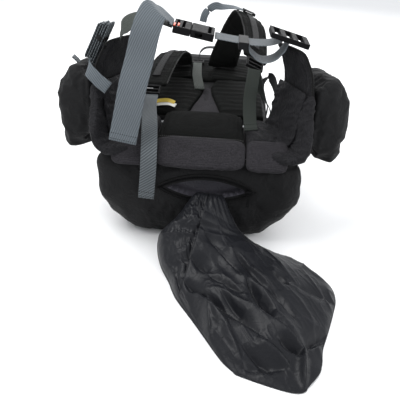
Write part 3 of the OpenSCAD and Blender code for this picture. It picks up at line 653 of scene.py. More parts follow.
def keep_above(piece, floor_z=0.6):
    """Flattens what lies below floor_z onto it, so that the cloth rests on the floor."""
    points, _ = points_of(piece)
    points[:, 2] = np.maximum(points[:, 2], floor_z)
    return move_points(piece, points)


def refine(piece):
    """A live Subdivision Surface."""
    finer = piece.modifiers.new("refine", "SUBSURF")
    finer.levels = finer.render_levels = render_levels
    return piece


# %% [markdown]
# ## Webbing, piping, stitches and zips
# A strap is a flat section carried along its route, with its place along and across the strap kept as a
# UV map for the weave. Its cut end is folded back and sewn down, which shows as a step and two rows of
# thread. Curve objects with a bevel could do this too, but they can't turn their width to follow a fold.
# %% Straps
HEM_LENGTH = 16.0


def section(width, thickness, power, count):
    """Points round a rounded flat section: across is half the width times the cosine, and up is half the
    thickness times the sine, each to a small power so that the sides are flat and the corners round."""
    a = np.linspace(0, 2 * np.pi, count, endpoint=False) + np.pi / count
    c, s = np.cos(a), np.sin(a)
    return (np.sign(c) * np.abs(c) ** (2 / power) * width / 2,
            np.sign(s) * np.abs(s) ** (2 / power) * thickness / 2)


def sweep(name, route, width, thickness, power=5.0, spacing=3.0, count=20, ends=(1.0, 1.0), ripple=None):
    """A strip along a route of (centre, direction across, share of width). ends gives the thickness at
    each end as a share, for a hem. ripple moves each ring along its face direction."""
    rows = np.array([[*r[0], *r[1], r[2] if len(r) > 2 else 1.0] for r in route], float)
    run, travelled = even_run(rows, spacing)
    forward, side, face = frames_along(run[:, :3], run[:, 3:6])
    across, up = section(1.0, 1.0, power, count)
    share = np.ones(len(run))
    share = np.where(travelled < HEM_LENGTH, ends[0], share)
    share = np.where(travelled > travelled[-1] - HEM_LENGTH, ends[1], share)
    wide, thick = run[:, 6] * width, share * thickness
    centre = run[:, :3] if ripple is None else run[:, :3] + face * ripple(travelled)[:, None]
    grid = (centre[:, None] + side[:, None] * (across[None, :, None] * wide[:, None, None])
            + face[:, None] * (up[None, :, None] * thick[:, None, None]))
    uv = np.stack([across[None] * wide[:, None], np.repeat(travelled[:, None], count, axis=1)], axis=-1)
    return tube_object(name, grid, uv)


def round_tube(name, path, radius, spacing=3.0, count=8):
    """A round cord along a path: each ring is a circle square to the path."""
    run, travelled = even_run(np.asarray(path, float), spacing)
    forward = unit(np.gradient(run, axis=0))
    helper = np.where(np.abs(forward[:, 2:3]) > 0.9, [[1.0, 0, 0]], [[0, 0, 1.0]])
    side = unit(np.cross(forward, helper))
    face = np.cross(forward, side)
    a = np.linspace(0, 2 * np.pi, count, endpoint=False)
    grid = run[:, None] + radius * (side[:, None] * np.cos(a)[None, :, None]
                                    + face[:, None] * np.sin(a)[None, :, None])
    uv = np.stack(np.broadcast_arrays(radius * a[None], travelled[:, None]), axis=-1)
    return tube_object(name, grid, uv)


# %% Stitches
STITCH_MIDDLE = [(-0.5, -0.5), (0.5, -0.5), (0.5, 0.5), (-0.5, 0.5)]
STITCH_END = [(-0.25, -0.5), (0.25, -0.5), (0.25, 0), (-0.25, 0)]
STITCH = np.array([[s, c, v] for s, ring in ((-0.5, STITCH_END), (0, STITCH_MIDDLE), (0.5, STITCH_END))
                   for c, v in ring])
STITCH_FACES = [[r * 4 + k, r * 4 + (k + 1) % 4, r * 4 + 4 + (k + 1) % 4, r * 4 + 4 + k]
                for r in (0, 1) for k in range(4)] + [[3, 2, 1, 0], [8, 9, 10, 11]]
HEM_ROWS = (4, 14)  # how far the two rows of thread lie from a strap's end


def stitches(name, path, up, thread=THREAD_PALE, length=2.6, pitch=3.8, gauge=0.8):
    """A row of stitches on a path: each is a short humped bar along it, on the side that up gives."""
    run, _ = even_run(np.concatenate([path, np.broadcast_to(up, np.shape(path))], axis=1), pitch)
    forward = unit(np.gradient(run[:, :3], axis=0))
    face = unit(run[:, 3:6])
    side = np.cross(face, forward)
    row = scatter(name, STITCH, STITCH_FACES, run[:, :3], forward * length, side * gauge, face * gauge)
    row.data.materials.append(thread)
    return row


def hem_stitches(name, route, width, at, thread=THREAD_DARK):
    """Two rows of thread across a strap, near the end that at picks: 0 for its start, -1 for its end."""
    rows = np.array([[*r[0], *r[1]] for r in route], float)
    run, _ = even_run(rows, 1.0)
    _, side, face = frames_along(run[:, :3], run[:, 3:6])
    made = []
    for step in HEM_ROWS:
        k = step if at == 0 else len(run) - 1 - step
        ends = np.linspace(-0.44, 0.44, 6)[:, None] * width * side[k] + run[k, :3]
        for way in (-1, 1):
            made.append(stitches(name, ends + face[k] * way * 1.9, face[k] * way, thread, gauge=0.9))
    return join(name, made)


# %% Zips
TOOTH_OUTLINE = [(-0.5, -0.5), (0.5, -0.5), (0.36, 0.5), (-0.36, 0.5)]
TOOTH = np.array([[x, y, z] for z in (0.0, 1.0) for x, y in TOOTH_OUTLINE])
TOOTH_FACES = [[3, 2, 1, 0], [4, 5, 6, 7], [0, 1, 5, 4], [1, 2, 6, 5], [2, 3, 7, 6], [3, 0, 4, 7]]
TOOTH_PITCH, TOOTH_SHIFT = 1.6, 0.7
TOOTH_ALONG, TOOTH_ACROSS, TOOTH_UP = 1.1, 3.4, 1.5
TAPE_T, TAPE_SUNK = 0.9, 0.3


def zip_run(name, path, up, tape):
    """A coil zip along a path: two tapes that meet at the middle, each as wide as tape, and teeth that
    cross from side to side in turn, with up pointing away from the cloth."""
    rows = np.concatenate([np.asarray(path, float), np.broadcast_to(up, np.shape(path))], axis=1)
    run, _ = even_run(rows, TOOTH_PITCH)
    forward = unit(np.gradient(run[:, :3], axis=0))
    face = unit(run[:, 3:6])
    side = np.cross(face, forward)
    way = np.where(np.arange(len(run)) % 2 == 0, 1.0, -1.0)[:, None]
    teeth = scatter(name + "_teeth", TOOTH, TOOTH_FACES, run[:, :3] + side * way * TOOTH_SHIFT,
                    forward * TOOTH_ALONG, side * way * TOOTH_ACROSS, face * TOOTH_UP)
    teeth.data.materials.append(BLACK_PLASTIC)
    centre = [(p, s) for p, s in zip(run[::4, :3] - face[::4] * TAPE_SUNK, side[::4])]
    band = sweep(name + "_tape", centre, tape * 2, TAPE_T, spacing=4.0, count=12)
    band.data.materials.append(ZIP_TAPE)
    return join(name, [teeth, band])


print("helpers for cloth, straps, stitches and zips are ready")

# %% [markdown]
# ## The bag's cloth
# The base is the fullest part and its end is nearest to the reader: cloth stretched over a filled box,
# with long soft folds that run from the corners of the zipped opening. The body, front pocket, collar
# and lid lie behind it.
# %% Base
MOUTH_REACH = 70.0  # how far behind the base's end the cloth belongs to the opening


def base_held(points):
    """Share of holding still: one at the opening, the seam with the body, the floor and the back face,
    and nought elsewhere."""
    across = np.hypot((points[:, 0] - mouth[0]) / (mouth_half[0] + 16),
                      (points[:, 2] - mouth[2]) / (mouth_half[1] + 14))
    front = points[:, 1] < y_end + MOUTH_REACH
    at_mouth = np.clip((1.25 - across) / 0.2, 0, 1) * front
    at_join = np.clip((points[:, 1] - y_join + 16) / 10, 0, 1)
    on_floor = np.clip((6 - points[:, 2]) / 4, 0, 1)
    at_back = np.clip((points[:, 2] - z_back + 5) / 4, 0, 1)
    return np.maximum.reduce([at_mouth, at_join, on_floor, at_back])


def base_folds(points, outward):
    """Long folds that fan out from the opening, upright folds on the corners, and small puckers. All
    fade where the base is held."""
    beside_mouth, above_mouth = points[:, 0] - mouth[0], points[:, 2] - mouth[2]
    fan = np.stack([np.arctan2(above_mouth - 60, beside_mouth) * 90, points[:, 1],
                    np.hypot(beside_mouth, above_mouth)], axis=1)
    free = 1 - base_held(points)
    wide = creases(fan, (26, 140, 150), 3, 4) * 4.0
    upright = creases(points, (60, 40, 150), 8, 4) * 3.0 * (np.abs(beside_mouth) > 110)
    small = creases(points, (26, 30, 34), 5, 5) * 1.1
    return (wide + upright + small - 3.8) * free


base = soft_copy("bag_base", "bottom_compartment", 5.0)
puff(base, 1.6, 0.03, 9, base_held(points_of(base)[0]))
push(base, base_folds)
keep_above(base)
refine(base)
settle(base, "root", PACK_CLOTH, ["bottom_compartment"])
print("base:", len(base.data.vertices), "points")

# %% Opening: lining, zip and its flap


def lens_outline(half_length, half_height, count):
    """Points round an eye-shaped opening: two arcs whose radius is the sum of the squares of the half
    sizes over twice the half height, so that each passes through both corners."""
    radius = (half_length**2 + half_height**2) / (2 * half_height)
    reach = math.asin(half_length / radius)
    a = np.linspace(-reach, reach, count // 2, endpoint=False)
    upper = np.stack([radius * np.sin(a), radius * np.cos(a) - radius + half_height], axis=1)
    return np.concatenate([upper, -upper])


def lining_points(around, rows, depth_mm, pleats):
    """Rings of the lining, from the opening inward: the eye's outline times one minus an inset that is
    drawn into pleats by a sine, and times a circle's closing over the last stretch."""
    rim = lens_outline(mouth_half[0], mouth_half[1], around)
    depth = np.linspace(0, 1, rows)[:, None]
    gather = (np.sin(np.arange(around) * 2 * np.pi / around * pleats) * 1.1
              + 0.8 * noise(np.stack([rim[:, 0], rim[:, 1], rim[:, 0] * 0], 1), 9, 2))
    inset = 1 - (0.02 + 0.07 * np.sin(np.pi * np.minimum(depth * 1.6, 1)) * (1 + gather[None] * 0.6))
    closing = np.sqrt(np.clip(1 - np.clip((depth - 0.7) / 0.3, 0, 1) ** 2, 0, 1))
    return np.stack([mouth[0] + rim[None, :, 0] * inset * closing,
                     y_end + 2 + depth * depth_mm + 0 * inset,
                     mouth[2] + rim[None, :, 1] * inset * closing], axis=-1)


def open_start(tube):
    """Takes away the flat face over a tube's first ring, and turns the rest to be seen from inside."""
    tube.data.flip_normals()
    work = bmesh.new()
    work.from_mesh(tube.data)
    cap = next(face for face in work.faces if len(face.verts) > 4)
    bmesh.ops.delete(work, geom=[cap], context="FACES_ONLY")
    work.to_mesh(tube.data)
    work.free()
    return tube


lining = open_start(tube_object("mouth_lining", lining_points(160, 14, 40, 27)))
settle(lining, "root", LINING, ["pocket_lining"])
print("lining:", len(lining.data.vertices), "points")


def mouth_ring(wider, higher, count, ahead, overlap=1):
    """A closed path round the opening, wider and higher than it, and ahead of the base's end."""
    eye = lens_outline(mouth_half[0] + wider, mouth_half[1] + higher, count)
    path = np.stack([mouth[0] + eye[:, 0], np.full(count, y_end - ahead), mouth[2] + eye[:, 1]], axis=1)
    return np.concatenate([path, path[:overlap]])


mouth_zip = zip_run("mouth_zip", mouth_ring(4, 3, 120, 1.2), [0, -1, 0], tape=6.0)
settle(mouth_zip, "root", None, ["base_zip"])
mouth_piping = round_tube("mouth_piping", mouth_ring(13, 9, 90, 0.6, overlap=2), 1.5)
settle(mouth_piping, "root", PIPING)
mouth_stitches = stitches("mouth_stitches", mouth_ring(9, 6.5, 90, 0.9), [0, -1.0, 0], THREAD_DARK)
settle(mouth_stitches, "root")
print("opening:", len(mouth_zip.data.polygons), "faces of zip")

# %% Body and front pocket
COMPRESSION_Y = (30, 210)  # where the side straps draw the body in
SIDES = (("right", 1), ("left", -1))


def soft_bag(name, node, voxel, slack, cap, folds=None):
    """A stuffed part of the bag: soft copy, puffed and creased, kept off the floor."""
    piece = soft_copy(name, node, voxel)
    puff(piece, 1.2, slack, cap)
    if folds is not None:
        push(piece, folds)
    keep_above(piece)
    refine(piece)
    settle(piece, frame["nodes"][node]["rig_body"], PACK_CLOTH, [node])
    print(name + ":", len(piece.data.vertices), "points")


def body_folds(points, outward):
    """Cross folds on the sides, where the straps draw the cloth in, and none under the back system."""
    side = np.clip(np.abs(outward[:, 0]) * 1.4, 0, 1)
    pulled = sum(groove(points[:, 1] - y, 16) for y in COMPRESSION_Y) * 3.5
    return (creases(points, (60, 34, 70), 4, 3) * 4.5 - 3.4 - pulled) * side


def pillow_folds(points, outward):
    """Soft folds all over."""
    return creases(points, (46, 46, 40), 9, 3) * 3.2 - 2.6


soft_bag("bag_body", "main_bag", 6.0, 0.0, 3, body_folds)
soft_bag("bag_front_pocket", "front_pocket", 5.0, 0.0, 1)
soft_bag("lid_pillow", "lid", 5.0, 0.01, 3, pillow_folds)

# %% Collar
COLLAR_PLEATS, COLLAR_AROUND, COLLAR_ROWS = 46, 240, 12
COLLAR_TUCK = 6.0  # how much smaller than its solid the collar is, and how far it goes into bag and lid


def collar_points():
    """Rings of the collar from the bag to the lid: a rounded section, waisted by half a sine, and
    pleated by a sine round it that fades at both ends."""
    base_end, lid_end = low("collar"), high("collar")
    middle, half = (base_end + lid_end) / 2, (lid_end - base_end) / 2
    across, up = section(2 * half[0] - COLLAR_TUCK, 2 * half[2] - COLLAR_TUCK, 3.2, COLLAR_AROUND)
    ply = np.linspace(0, 1, COLLAR_ROWS)
    wave = np.sin(np.arange(COLLAR_AROUND) * 2 * np.pi / COLLAR_AROUND * COLLAR_PLEATS)
    pleats = 1 + 0.018 * wave[None] * np.sin(np.pi * ply)[:, None] ** 0.5
    waist = 1 - 0.05 * np.sin(np.pi * ply)[:, None]
    y = base_end[1] - COLLAR_TUCK + ply[:, None] * (lid_end[1] - base_end[1] + 2 * COLLAR_TUCK)
    return np.stack([middle[0] + across[None] * pleats * waist, y + 0 * pleats,
                     middle[2] + up[None] * pleats * waist], axis=-1)


settle(tube_object("collar_gathers", collar_points()), "root", LINING, ["collar"])
print("collar:", COLLAR_PLEATS, "pleats")

# %% [markdown]
# ## Back system
# The pads are foam under mesh: low pillows with eased edges, cross ribs and a channel between them for
# air. Each is a height over a grid: the product of two curves that are flat in the middle and fall at the
# edges, with ribs, seams and creases added. A cloth simulation would lose ribs this fine.
# %% Pillows


def falloff(t, power):
    """Flat in the middle and falling to nought at both ends: the power-th root of one minus t to the
    power, which is a circle when power is 2."""
    return np.maximum(1 - np.abs(t) ** power, 0) ** (1 / power)


def level(x, y):
    """Places at height nought, for noise that is the same all the way up a pad."""
    return np.stack([x, y, 0 * x], axis=-1)


def pillow(name, outline, z_low, thickness, power, rows, columns, relief):
    """A pad over an outline, a function that turns (u, v) from -1 to 1 into x and y. Its top stands
    thickness times both falloffs above z_low, plus relief, and its underside is flat."""
    ease = np.sin(np.linspace(-1, 1, rows) * np.pi / 2), np.sin(np.linspace(-1, 1, columns) * np.pi / 2)
    u, v = np.meshgrid(ease[1], ease[0])
    x, y = outline(u, v)
    edge = falloff(u, power) * falloff(v, power)
    z = z_low + thickness * edge + relief(x, y, u, v) * np.minimum(edge * 1.5, 1)
    top = np.stack([x, y, z], axis=-1)
    under = np.stack([x, y, np.full_like(x, z_low - 0.5)], axis=-1)
    points = np.concatenate([top.reshape(-1, 3), under.reshape(-1, 3)])
    faces = grid_faces(rows, columns, False)
    count = rows * columns
    border = np.concatenate([np.arange(columns), np.arange(1, rows) * columns + columns - 1,
                             (rows - 1) * columns + np.arange(columns - 2, -1, -1),
                             np.arange(rows - 2, 0, -1) * columns])
    around = np.roll(border, -1)
    wall = np.stack([border, around, around + count, border + count], axis=1).tolist()
    return face_outward(mesh_object(name, points, faces + [[k + count for k in f] for f in faces] + wall))


def between(left, right, near, far):
    """An outline between two sides, each a function of y, from near to far."""
    def outline(u, v):
        y = near + (far - near) * (v + 1) / 2
        a, b = left(y), right(y)
        return a + (b - a) * (u + 1) / 2, y
    return outline


def line(points, factor=1):
    """A side of an outline: x, times the factor, as a straight-line table over y."""
    xs, ys = np.array(points, float).T

    def side(y):
        return factor * np.interp(y, ys, xs)
    return side


def ribs(pitch, height):
    """Cross ribs, slightly bowed, with soft creases between them."""
    def relief(x, y, u, v):
        bend = y + 5 * np.sin(x / 34)
        return height * np.sin(bend * 2 * np.pi / pitch) + creases(level(x, y), (38, 16, 20), 7, 4) * 1.3 - 1
    return relief


print("pillows, outlines and ribs are ready")


# %% Pads on the back
pad_near, pad_far = low("back_pad_right")[1], high("back_pad_right")[1]
pad_out = high("back_pad_right")[0]
PAD_LIFT = 0.6  # how far a pad's underside stands off the panel
CHANNEL_EDGE = [(38, pad_near), (30, pad_near + 50), (13, -20), (9, 30), (20, pad_far)]
PAD_EDGE = [(pad_out, pad_near), (pad_out, pad_far)]
for word, side in SIDES:
    edges = [line(CHANNEL_EDGE, side), line(PAD_EDGE, side)][::side]
    pad = pillow("back_pad_mesh_" + word, between(*edges, pad_near, pad_far), z_panel + PAD_LIFT,
                 z_pad - z_panel, 6, 110, 50, ribs(27, 0.7))
    settle(refine(pad), "root", SPACER_MESH, ["back_pad_" + word])

yoke_low, yoke_high = low("yoke_panel"), high("yoke_panel")
YOKE_NARROWS = 14  # how much nearer to the middle its far corners are


def yoke_relief(x, y, u, v):
    """Cross ribs either side of a flat channel, with a seam along each edge of the channel."""
    middle = np.abs(x + 18) - (24 + 0.05 * (y - yoke_low[1]))
    rib = 0.8 * np.sin((y + 0.25 * np.abs(x)) * 2 * np.pi / 24) * (middle > 0)
    small = creases(level(x, y), (40, 18, 20), 12, 4) * 1.2
    return rib - 4.5 * (middle < 0) - 2.2 * groove(middle, 4) + small


yoke_left = line([(yoke_low[0], yoke_low[1]), (yoke_low[0] + YOKE_NARROWS, yoke_high[1])])
yoke_right = line([(yoke_high[0], yoke_low[1]), (yoke_high[0] - YOKE_NARROWS, yoke_high[1])])
yoke = pillow("yoke_mesh", between(yoke_left, yoke_right, yoke_low[1], yoke_high[1]),
              z_panel + PAD_LIFT, z_pad + 1 - z_panel, 7, 100, 100, yoke_relief)
settle(refine(yoke), "root", SPACER_MESH, ["yoke_panel"])

panel_low, panel_high = low("back_panel"), high("back_panel")
PANEL_T = 11


def panel_outline(u, v):
    """The back panel's rectangle, a millimetre inside its solid at each side."""
    return ((panel_high[0] - 1) * u,
            (panel_low[1] + panel_high[1]) / 2 + (panel_high[1] - panel_low[1]) / 2 * v)


def panel_relief(x, y, u, v):
    """Soft creases."""
    return creases(level(x, y), (50, 24, 20), 2, 3) * 1.2 - 1


panel = pillow("back_panel_cloth", panel_outline, z_panel - PANEL_T, PANEL_T, 14, 90, 60, panel_relief)
settle(refine(panel), "root", PACK_CLOTH, ["back_panel"])

CHANNEL_MARGIN = 1  # how far the cloth in the channel stays from the pads
wedge_edge = [(x - CHANNEL_MARGIN, y) for x, y in CHANNEL_EDGE]


def wedge_relief(x, y, u, v):
    """A seam down the middle of the narrow part, and slack cloth."""
    return -1.5 * groove(x, 5) * (y > -60) + noise(level(x, y), 14, 3) * 0.5


wedge = pillow("channel_wedge", between(line(wedge_edge, -1), line(wedge_edge), pad_near + 4, 40),
               z_panel - 1, 5.5, 8, 60, 24, wedge_relief)
settle(wedge, "root", HEATHER_MESH)
print("back pads, yoke, panel and channel made")

# %% Lumbar pad
lumbar_half, lumbar_far, lumbar_top = high("lumbar_pad")
seam_y = y_belt - 56
SEAM_LAP = 3  # how far the pads reach over the seam
CORE_LIFT = 0.4  # how far their underside stands off the belt's core


def lumbar_relief(x, y, u, v):
    """A crown towards the far edge, a seam near the roll, and upright seams close to both sides."""
    crown = 5 * np.sin(np.pi * np.clip((y - seam_y) / (lumbar_far - seam_y), 0, 1)) * (1 - u * u)
    sides = -2.4 * groove(np.abs(x) - (lumbar_half - 13), 2.5)
    return crown + sides + noise(level(x, y), (40, 30, 20), 5) * 0.8


LUMBAR_EDGE = [(lumbar_half, seam_y), (lumbar_half - 5, lumbar_far)]
lumbar_outline = between(line(LUMBAR_EDGE, -1), line(LUMBAR_EDGE), seam_y - SEAM_LAP, lumbar_far)
lumbar = pillow("lumbar_mesh", lumbar_outline, z_core + CORE_LIFT, lumbar_top - z_core - 5,
                4, 70, 80, lumbar_relief)
settle(refine(lumbar), "root", SPACER_MESH, ["lumbar_pad"])

# %% Rolled edge
# The roll's outline, as (y, z): over the seam, round the base's end, and back under the belt.
ROLL_SECTION = [(seam_y - 1, z_core + 21), (seam_y - 8, z_core + 25.5), (y_end + 7, z_core + 21.5),
                (y_end - 7, z_core + 9), (y_end - 20, z_core - 8), (y_end - 22.5, z_core - 17),
                (y_end - 16, z_core - 23), (y_end - 8, z_core - 20.5), (y_end - 2, z_core - 8),
                (y_end + 7, z_core - 2), (seam_y + 6, z_core + 6), (seam_y + 6, z_core + 16)]


def belt_roll(name, x0, x1, seed):
    """The rolled edge of the belt: its section's outline is carried from x0 to x1, drawn in at both ends
    by the falloff, and creased lengthwise and across."""
    loop = np.array(ROLL_SECTION)
    shape = smooth(np.concatenate([loop[-2:], loop, loop[:2]]), 5)[10:-10][:-1]
    middle = loop.mean(axis=0)
    u = np.sin(np.linspace(-1, 1, 70) * np.pi / 2)
    shrink = np.maximum(falloff(u, 5), 0.02)[:, None]
    x = (x0 + (x1 - x0) * (u + 1) / 2)[:, None]
    dy, dz = shape[:, 0] - middle[0], shape[:, 1] - middle[1]
    grid = np.stack([x + 0 * dy[None], middle[0] + dy[None] * shrink, middle[1] + dz[None] * shrink], axis=-1)
    out = unit(np.stack([0 * dy, dy, dz], axis=-1))[None]
    rough = creases(grid, (17, 40, 40), seed, 3) * 1.6 + noise(grid, (60, 14, 14), seed + 1) * 1.3 - 1.4
    roll = tube_object(name, grid + out * (rough * shrink)[..., None])
    settle(refine(roll), "root", HEATHER_MESH)


belt_roll("lumbar_roll", -lumbar_half, lumbar_half, 21)
share = np.linspace(-1, 1, 30)
seam_path = np.stack([(lumbar_half - 6) * share, np.full(30, seam_y - 2.5),
                      z_core + 21.2 + 2.2 * falloff(share, 3)], axis=1)
settle(stitches("lumbar_stitches", seam_path, [0, -0.2, 1.0], THREAD_PALE), "root")
print("lumbar pad and roll made")

# %% Root pads
root_in = low("belt_root_pad_right")[0]
root_out, root_far, root_top = high("belt_root_pad_right")
ROOT_SLANT = 36  # how much nearer to the middle its far corner is


def root_relief(x, y, u, v):
    """Slanting creases where the belt turns up into the wing."""
    here = np.stack([x + 0.5 * y, y - 0.5 * x, 0 * x], axis=-1)
    return creases(here, (14, 44, 20), 31, 3) * 2.6 - 1.6


def root_outline(side):
    """The outline of a root pad, whose outer edge slants in towards its far end."""
    def outline(u, v):
        share = (v + 1) / 2
        outer = root_out - 2 - ROOT_SLANT * share
        y = seam_y - SEAM_LAP + (root_far - seam_y + SEAM_LAP) * share
        return side * (root_in + (outer - root_in) * (u + 1) / 2), y
    return outline


for word, side in SIDES:
    pad = pillow("belt_root_mesh_" + word, root_outline(side), z_core + CORE_LIFT, root_top - z_core - 3,
                 4, 50, 40, root_relief)
    settle(refine(pad), "root", WING_MESH, ["belt_root_pad_" + word])
    belt_roll("belt_root_roll_" + word, *sorted((side * root_in, side * (root_out - 1))), 40 + side)
print("root pads made")

# %% [markdown]
# ## Hip-belt wings and their pockets
# Each wing is a padded strip that stands on its hinge line and leans over at the top, edged with a cord
# of piping. Its inner face is creased mesh. The wing is worked out in its own frame, on the hinge line,
# and then turned into place, as it is in the frame. The pocket is a stuffed bag on the outer face.
# %% Wings
hinge_turn = math.atan2(-hinge_axis[0], hinge_axis[1])
# The wing's run up from its hinge line, as (outward, up, width, lean of the width along the hinge).
WING = np.array([(0, 0, 134, 0), (2, 14, 134, 0), (10, 44, 134, 0), (15, 82, 134, 0),
                 (13, 122, 128, 0), (4, 160, 116, -0.06), (-12, 191, 92, -0.14)], float)
WING_THICK = 22.0


def from_wing(points, side):
    """Points in a wing's own frame, turned about Z onto its hinge line, and mirrored for the left."""
    x, y, z = points[..., 0], points[..., 1], points[..., 2]
    c, s = math.cos(hinge_turn), math.sin(hinge_turn)
    return np.stack([side * (hinge[0] + x * c - y * s), hinge[1] + x * s + y * c, hinge[2] + z], axis=-1)


def wing_rings(count=72, spacing=3.4):
    """Rings of the wing: a rounded section at each point of its run, thinner and narrower over the last
    stretch, by a circle's falloff, so that the tip closes round."""
    rows = np.array([[outward, 0, upward, lean, 1, 0, width] for outward, upward, width, lean in WING])
    run, travelled = even_run(rows, spacing)
    _, side, face = frames_along(run[:, :3], run[:, 3:6])
    left = (travelled[-1] - travelled) / 16
    shrink = np.where(left < 1, falloff(1 - np.clip(left, 0, 1), 2.2), 1)
    shrink = np.maximum(shrink, 0.03)
    across, up = section(1.0, 1.0, 3.0, count)
    wide = run[:, 6] - 14 * (1 - shrink)
    thick = WING_THICK * (0.9 - 0.25 * travelled / travelled[-1]) * shrink
    return run, side, face, across, up, wide, thick


INNER_SIGN = -1 if wing_rings()[2][0][0] > 0 else 1  # which way a section's up is on the inner face


def wing(word, side):
    """One wing, quilted on its inner face, with its piping."""
    run, along_hinge, face, across, up, wide, thick = wing_rings()
    grid = (run[:, None, :3] + along_hinge[:, None] * (across[None, :, None] * wide[:, None, None])
            + face[:, None] * (up[None, :, None] * thick[:, None, None]))
    inner = np.clip(up * 2.4 * INNER_SIGN, 0, 1)[None, :]
    slanted = np.stack([grid[..., 1] * 0.8 + grid[..., 2] * 0.6, grid[..., 2] * 0.8 - grid[..., 1] * 0.6,
                        grid[..., 0] * 0], axis=-1)
    folds = creases(slanted, (11, 52, 30), 50 + side, 3) * 2.4 - 2.2 + noise(grid, (16, 22, 30), 52 + side)
    seam = -2.6 * groove(np.abs(across[None] * wide[:, None]) - (wide[:, None] / 2 - 15), 2.2)
    lift = (folds + seam) * inner + creases(slanted, (30, 60, 30), 55, 3) * 1.4 * (1 - inner)
    fade = np.minimum(thick / WING_THICK * 1.5, 1)[:, None]
    grid = grid + face[:, None] * (np.sign(up)[None, :, None] * (lift * fade)[..., None])
    pad = tube_object("wing_pad_" + word, from_wing(grid, side))
    settle(refine(pad), "hip_wing_" + word, WING_MESH, ["hip_wing_" + word])
    to_edge = along_hinge * (wide / 2 + 0.4)[:, None]
    near, far = run[:, :3] - to_edge, run[:, :3] + to_edge
    edge = np.concatenate([near[2::4], far[::-1][:-2:4]])
    cord = round_tube("wing_piping_" + word, from_wing(edge, side), 2.3, count=10)
    settle(cord, "hip_wing_" + word, PIPING)


for word, side in SIDES:
    wing(word, side)

# %% Hip pockets


def to_wing(points, side):
    """The reverse of from_wing."""
    x, y = points[..., 0] * side - hinge[0], points[..., 1] - hinge[1]
    c, s = math.cos(hinge_turn), math.sin(hinge_turn)
    return np.stack([x * c + y * s, y * c - x * s, points[..., 2] - hinge[2]], axis=-1)


pocket_outward = to_wing(points_of(frame["nodes"]["hip_pocket_right"])[0], 1)[:, 0]
inner_face, outer_face = pocket_outward.min(), pocket_outward.max()
# The zip's route on the outer face, as (outward from it, along the hinge, up), with the way it faces.
POCKET_ZIP = [((-31, 4, 136), (0.66, 0, 0.75)), ((-19, 2, 123), (0.66, 0, 0.75)),
              ((-6, 0, 108), (0.85, 0, 0.5)), ((-1.4, 0, 100), (1, 0, 0)), ((0, 0, 92), (1, 0, 0)),
              ((0, 0, 60), (1, 0, 0)), ((0, -1, 30), (1, 0, 0)), ((-0.7, -4, 18), (1, 0, 0)),
              ((-4.5, -12, 4), (1, 0, 0)), ((-8.2, -24, -8), (0.9, 0, -0.35))]
pocket_zip_path = np.array([place for place, _ in POCKET_ZIP], float) + [outer_face + 0.6, 0, 0]
pocket_zip_up = np.array([away for _, away in POCKET_ZIP], float)


def pocket_held(points, side):
    """Share of holding still: one near the zip and on the face against the wing, nought elsewhere."""
    here = to_wing(points, side)
    fine = smooth(pocket_zip_path, 6)
    away = np.min(np.linalg.norm(here[:, None] - fine[None], axis=2), axis=1)
    at_wing = np.clip((inner_face + 10 - here[:, 0]) / 6, 0, 1)
    return np.maximum(np.clip((15 - away) / 7, 0, 1), at_wing)


def pocket_folds(side):
    """Slack folds that run away from the zip of the pocket on that side."""
    def folds(points, outward):
        x, y, z = to_wing(points, side).T
        drawn = np.stack([x, y * 0.6 + z * 0.8, y * 0.8 - z * 0.6], axis=1)
        return (creases(drawn, (30, 24, 50), 60 + side, 3) * 4.2 - 3.2) * (1 - pocket_held(points, side))
    return folds


for word, side in SIDES:
    pocket = soft_copy("hip_pocket_cloth_" + word, "hip_pocket_" + word, 4.5)
    puff(pocket, 1.6, 0.05, 8, pocket_held(points_of(pocket)[0], side))
    push(pocket, pocket_folds(side))
    settle(refine(pocket), "hip_wing_" + word, PACK_CLOTH, ["hip_pocket_" + word])
    up = from_wing(pocket_zip_up, side) - from_wing(np.zeros(3), side)
    zipper = zip_run("hip_pocket_zip_" + word, from_wing(pocket_zip_path, side), up, tape=7.0)
    settle(zipper, "hip_wing_" + word)
print("hip pockets:", len(pocket.data.vertices), "points each")

# %% [markdown]
# ## Where the belt turns up into the wings
# Between the flat root pads and the standing wings the belt's cloth and foam bend round the hinge line.
# Each bend is made of two padded bands that follow the curve: one from the root pad up the wing's inner
# face, and one from the rolled edge up the wing's near edge.
# %% Bends
BEND_SLANT = np.array([[0.9, 0.4, 0], [-0.4, 0.9, 0], [0, 0, 1]])  # turns the creases across the band


def bend(name, word, side, route, width, thickness, finish, seed):
    """A padded band along a route of (centre, share of width) in the wing's own frame, thin at both
    ends, with creases across it, that runs along the belt at its start and up the wing at its end."""
    rows = np.array([[*place, 0, 1, 0, share] for place, share in route], float)
    run, travelled = even_run(rows, 3.0)
    _, along_hinge, face = frames_along(run[:, :3], run[:, 3:6])
    across, up = section(1.0, 1.0, 3.0, 64)
    left = np.minimum(travelled, travelled[-1] - travelled) / 26
    thick = thickness * np.maximum(np.where(left < 1, falloff(1 - np.clip(left, 0, 1), 2), 1), 0.05)
    wide = run[:, 6] * width
    flat = np.stack(np.broadcast_arrays(across[None] * wide[:, None], travelled[:, None], 0.0), axis=-1)
    lift = creases(flat @ BEND_SLANT, (34, 10, 9), seed, 3) * 4.4 - 2.2
    lift = (lift + noise(flat, (22, 30, 9), seed + 3) * 2.5) * (thick / thickness)[:, None]
    raised = up[None, :] * thick[:, None] + np.sign(up)[None, :] * lift
    grid = run[:, None, :3] + along_hinge[:, None] * flat[..., :1] + face[:, None] * raised[..., None]
    band = refine(tube_object(name + "_" + word, from_wing(grid, side)))
    settle(band, None, finish)
    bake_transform(band)


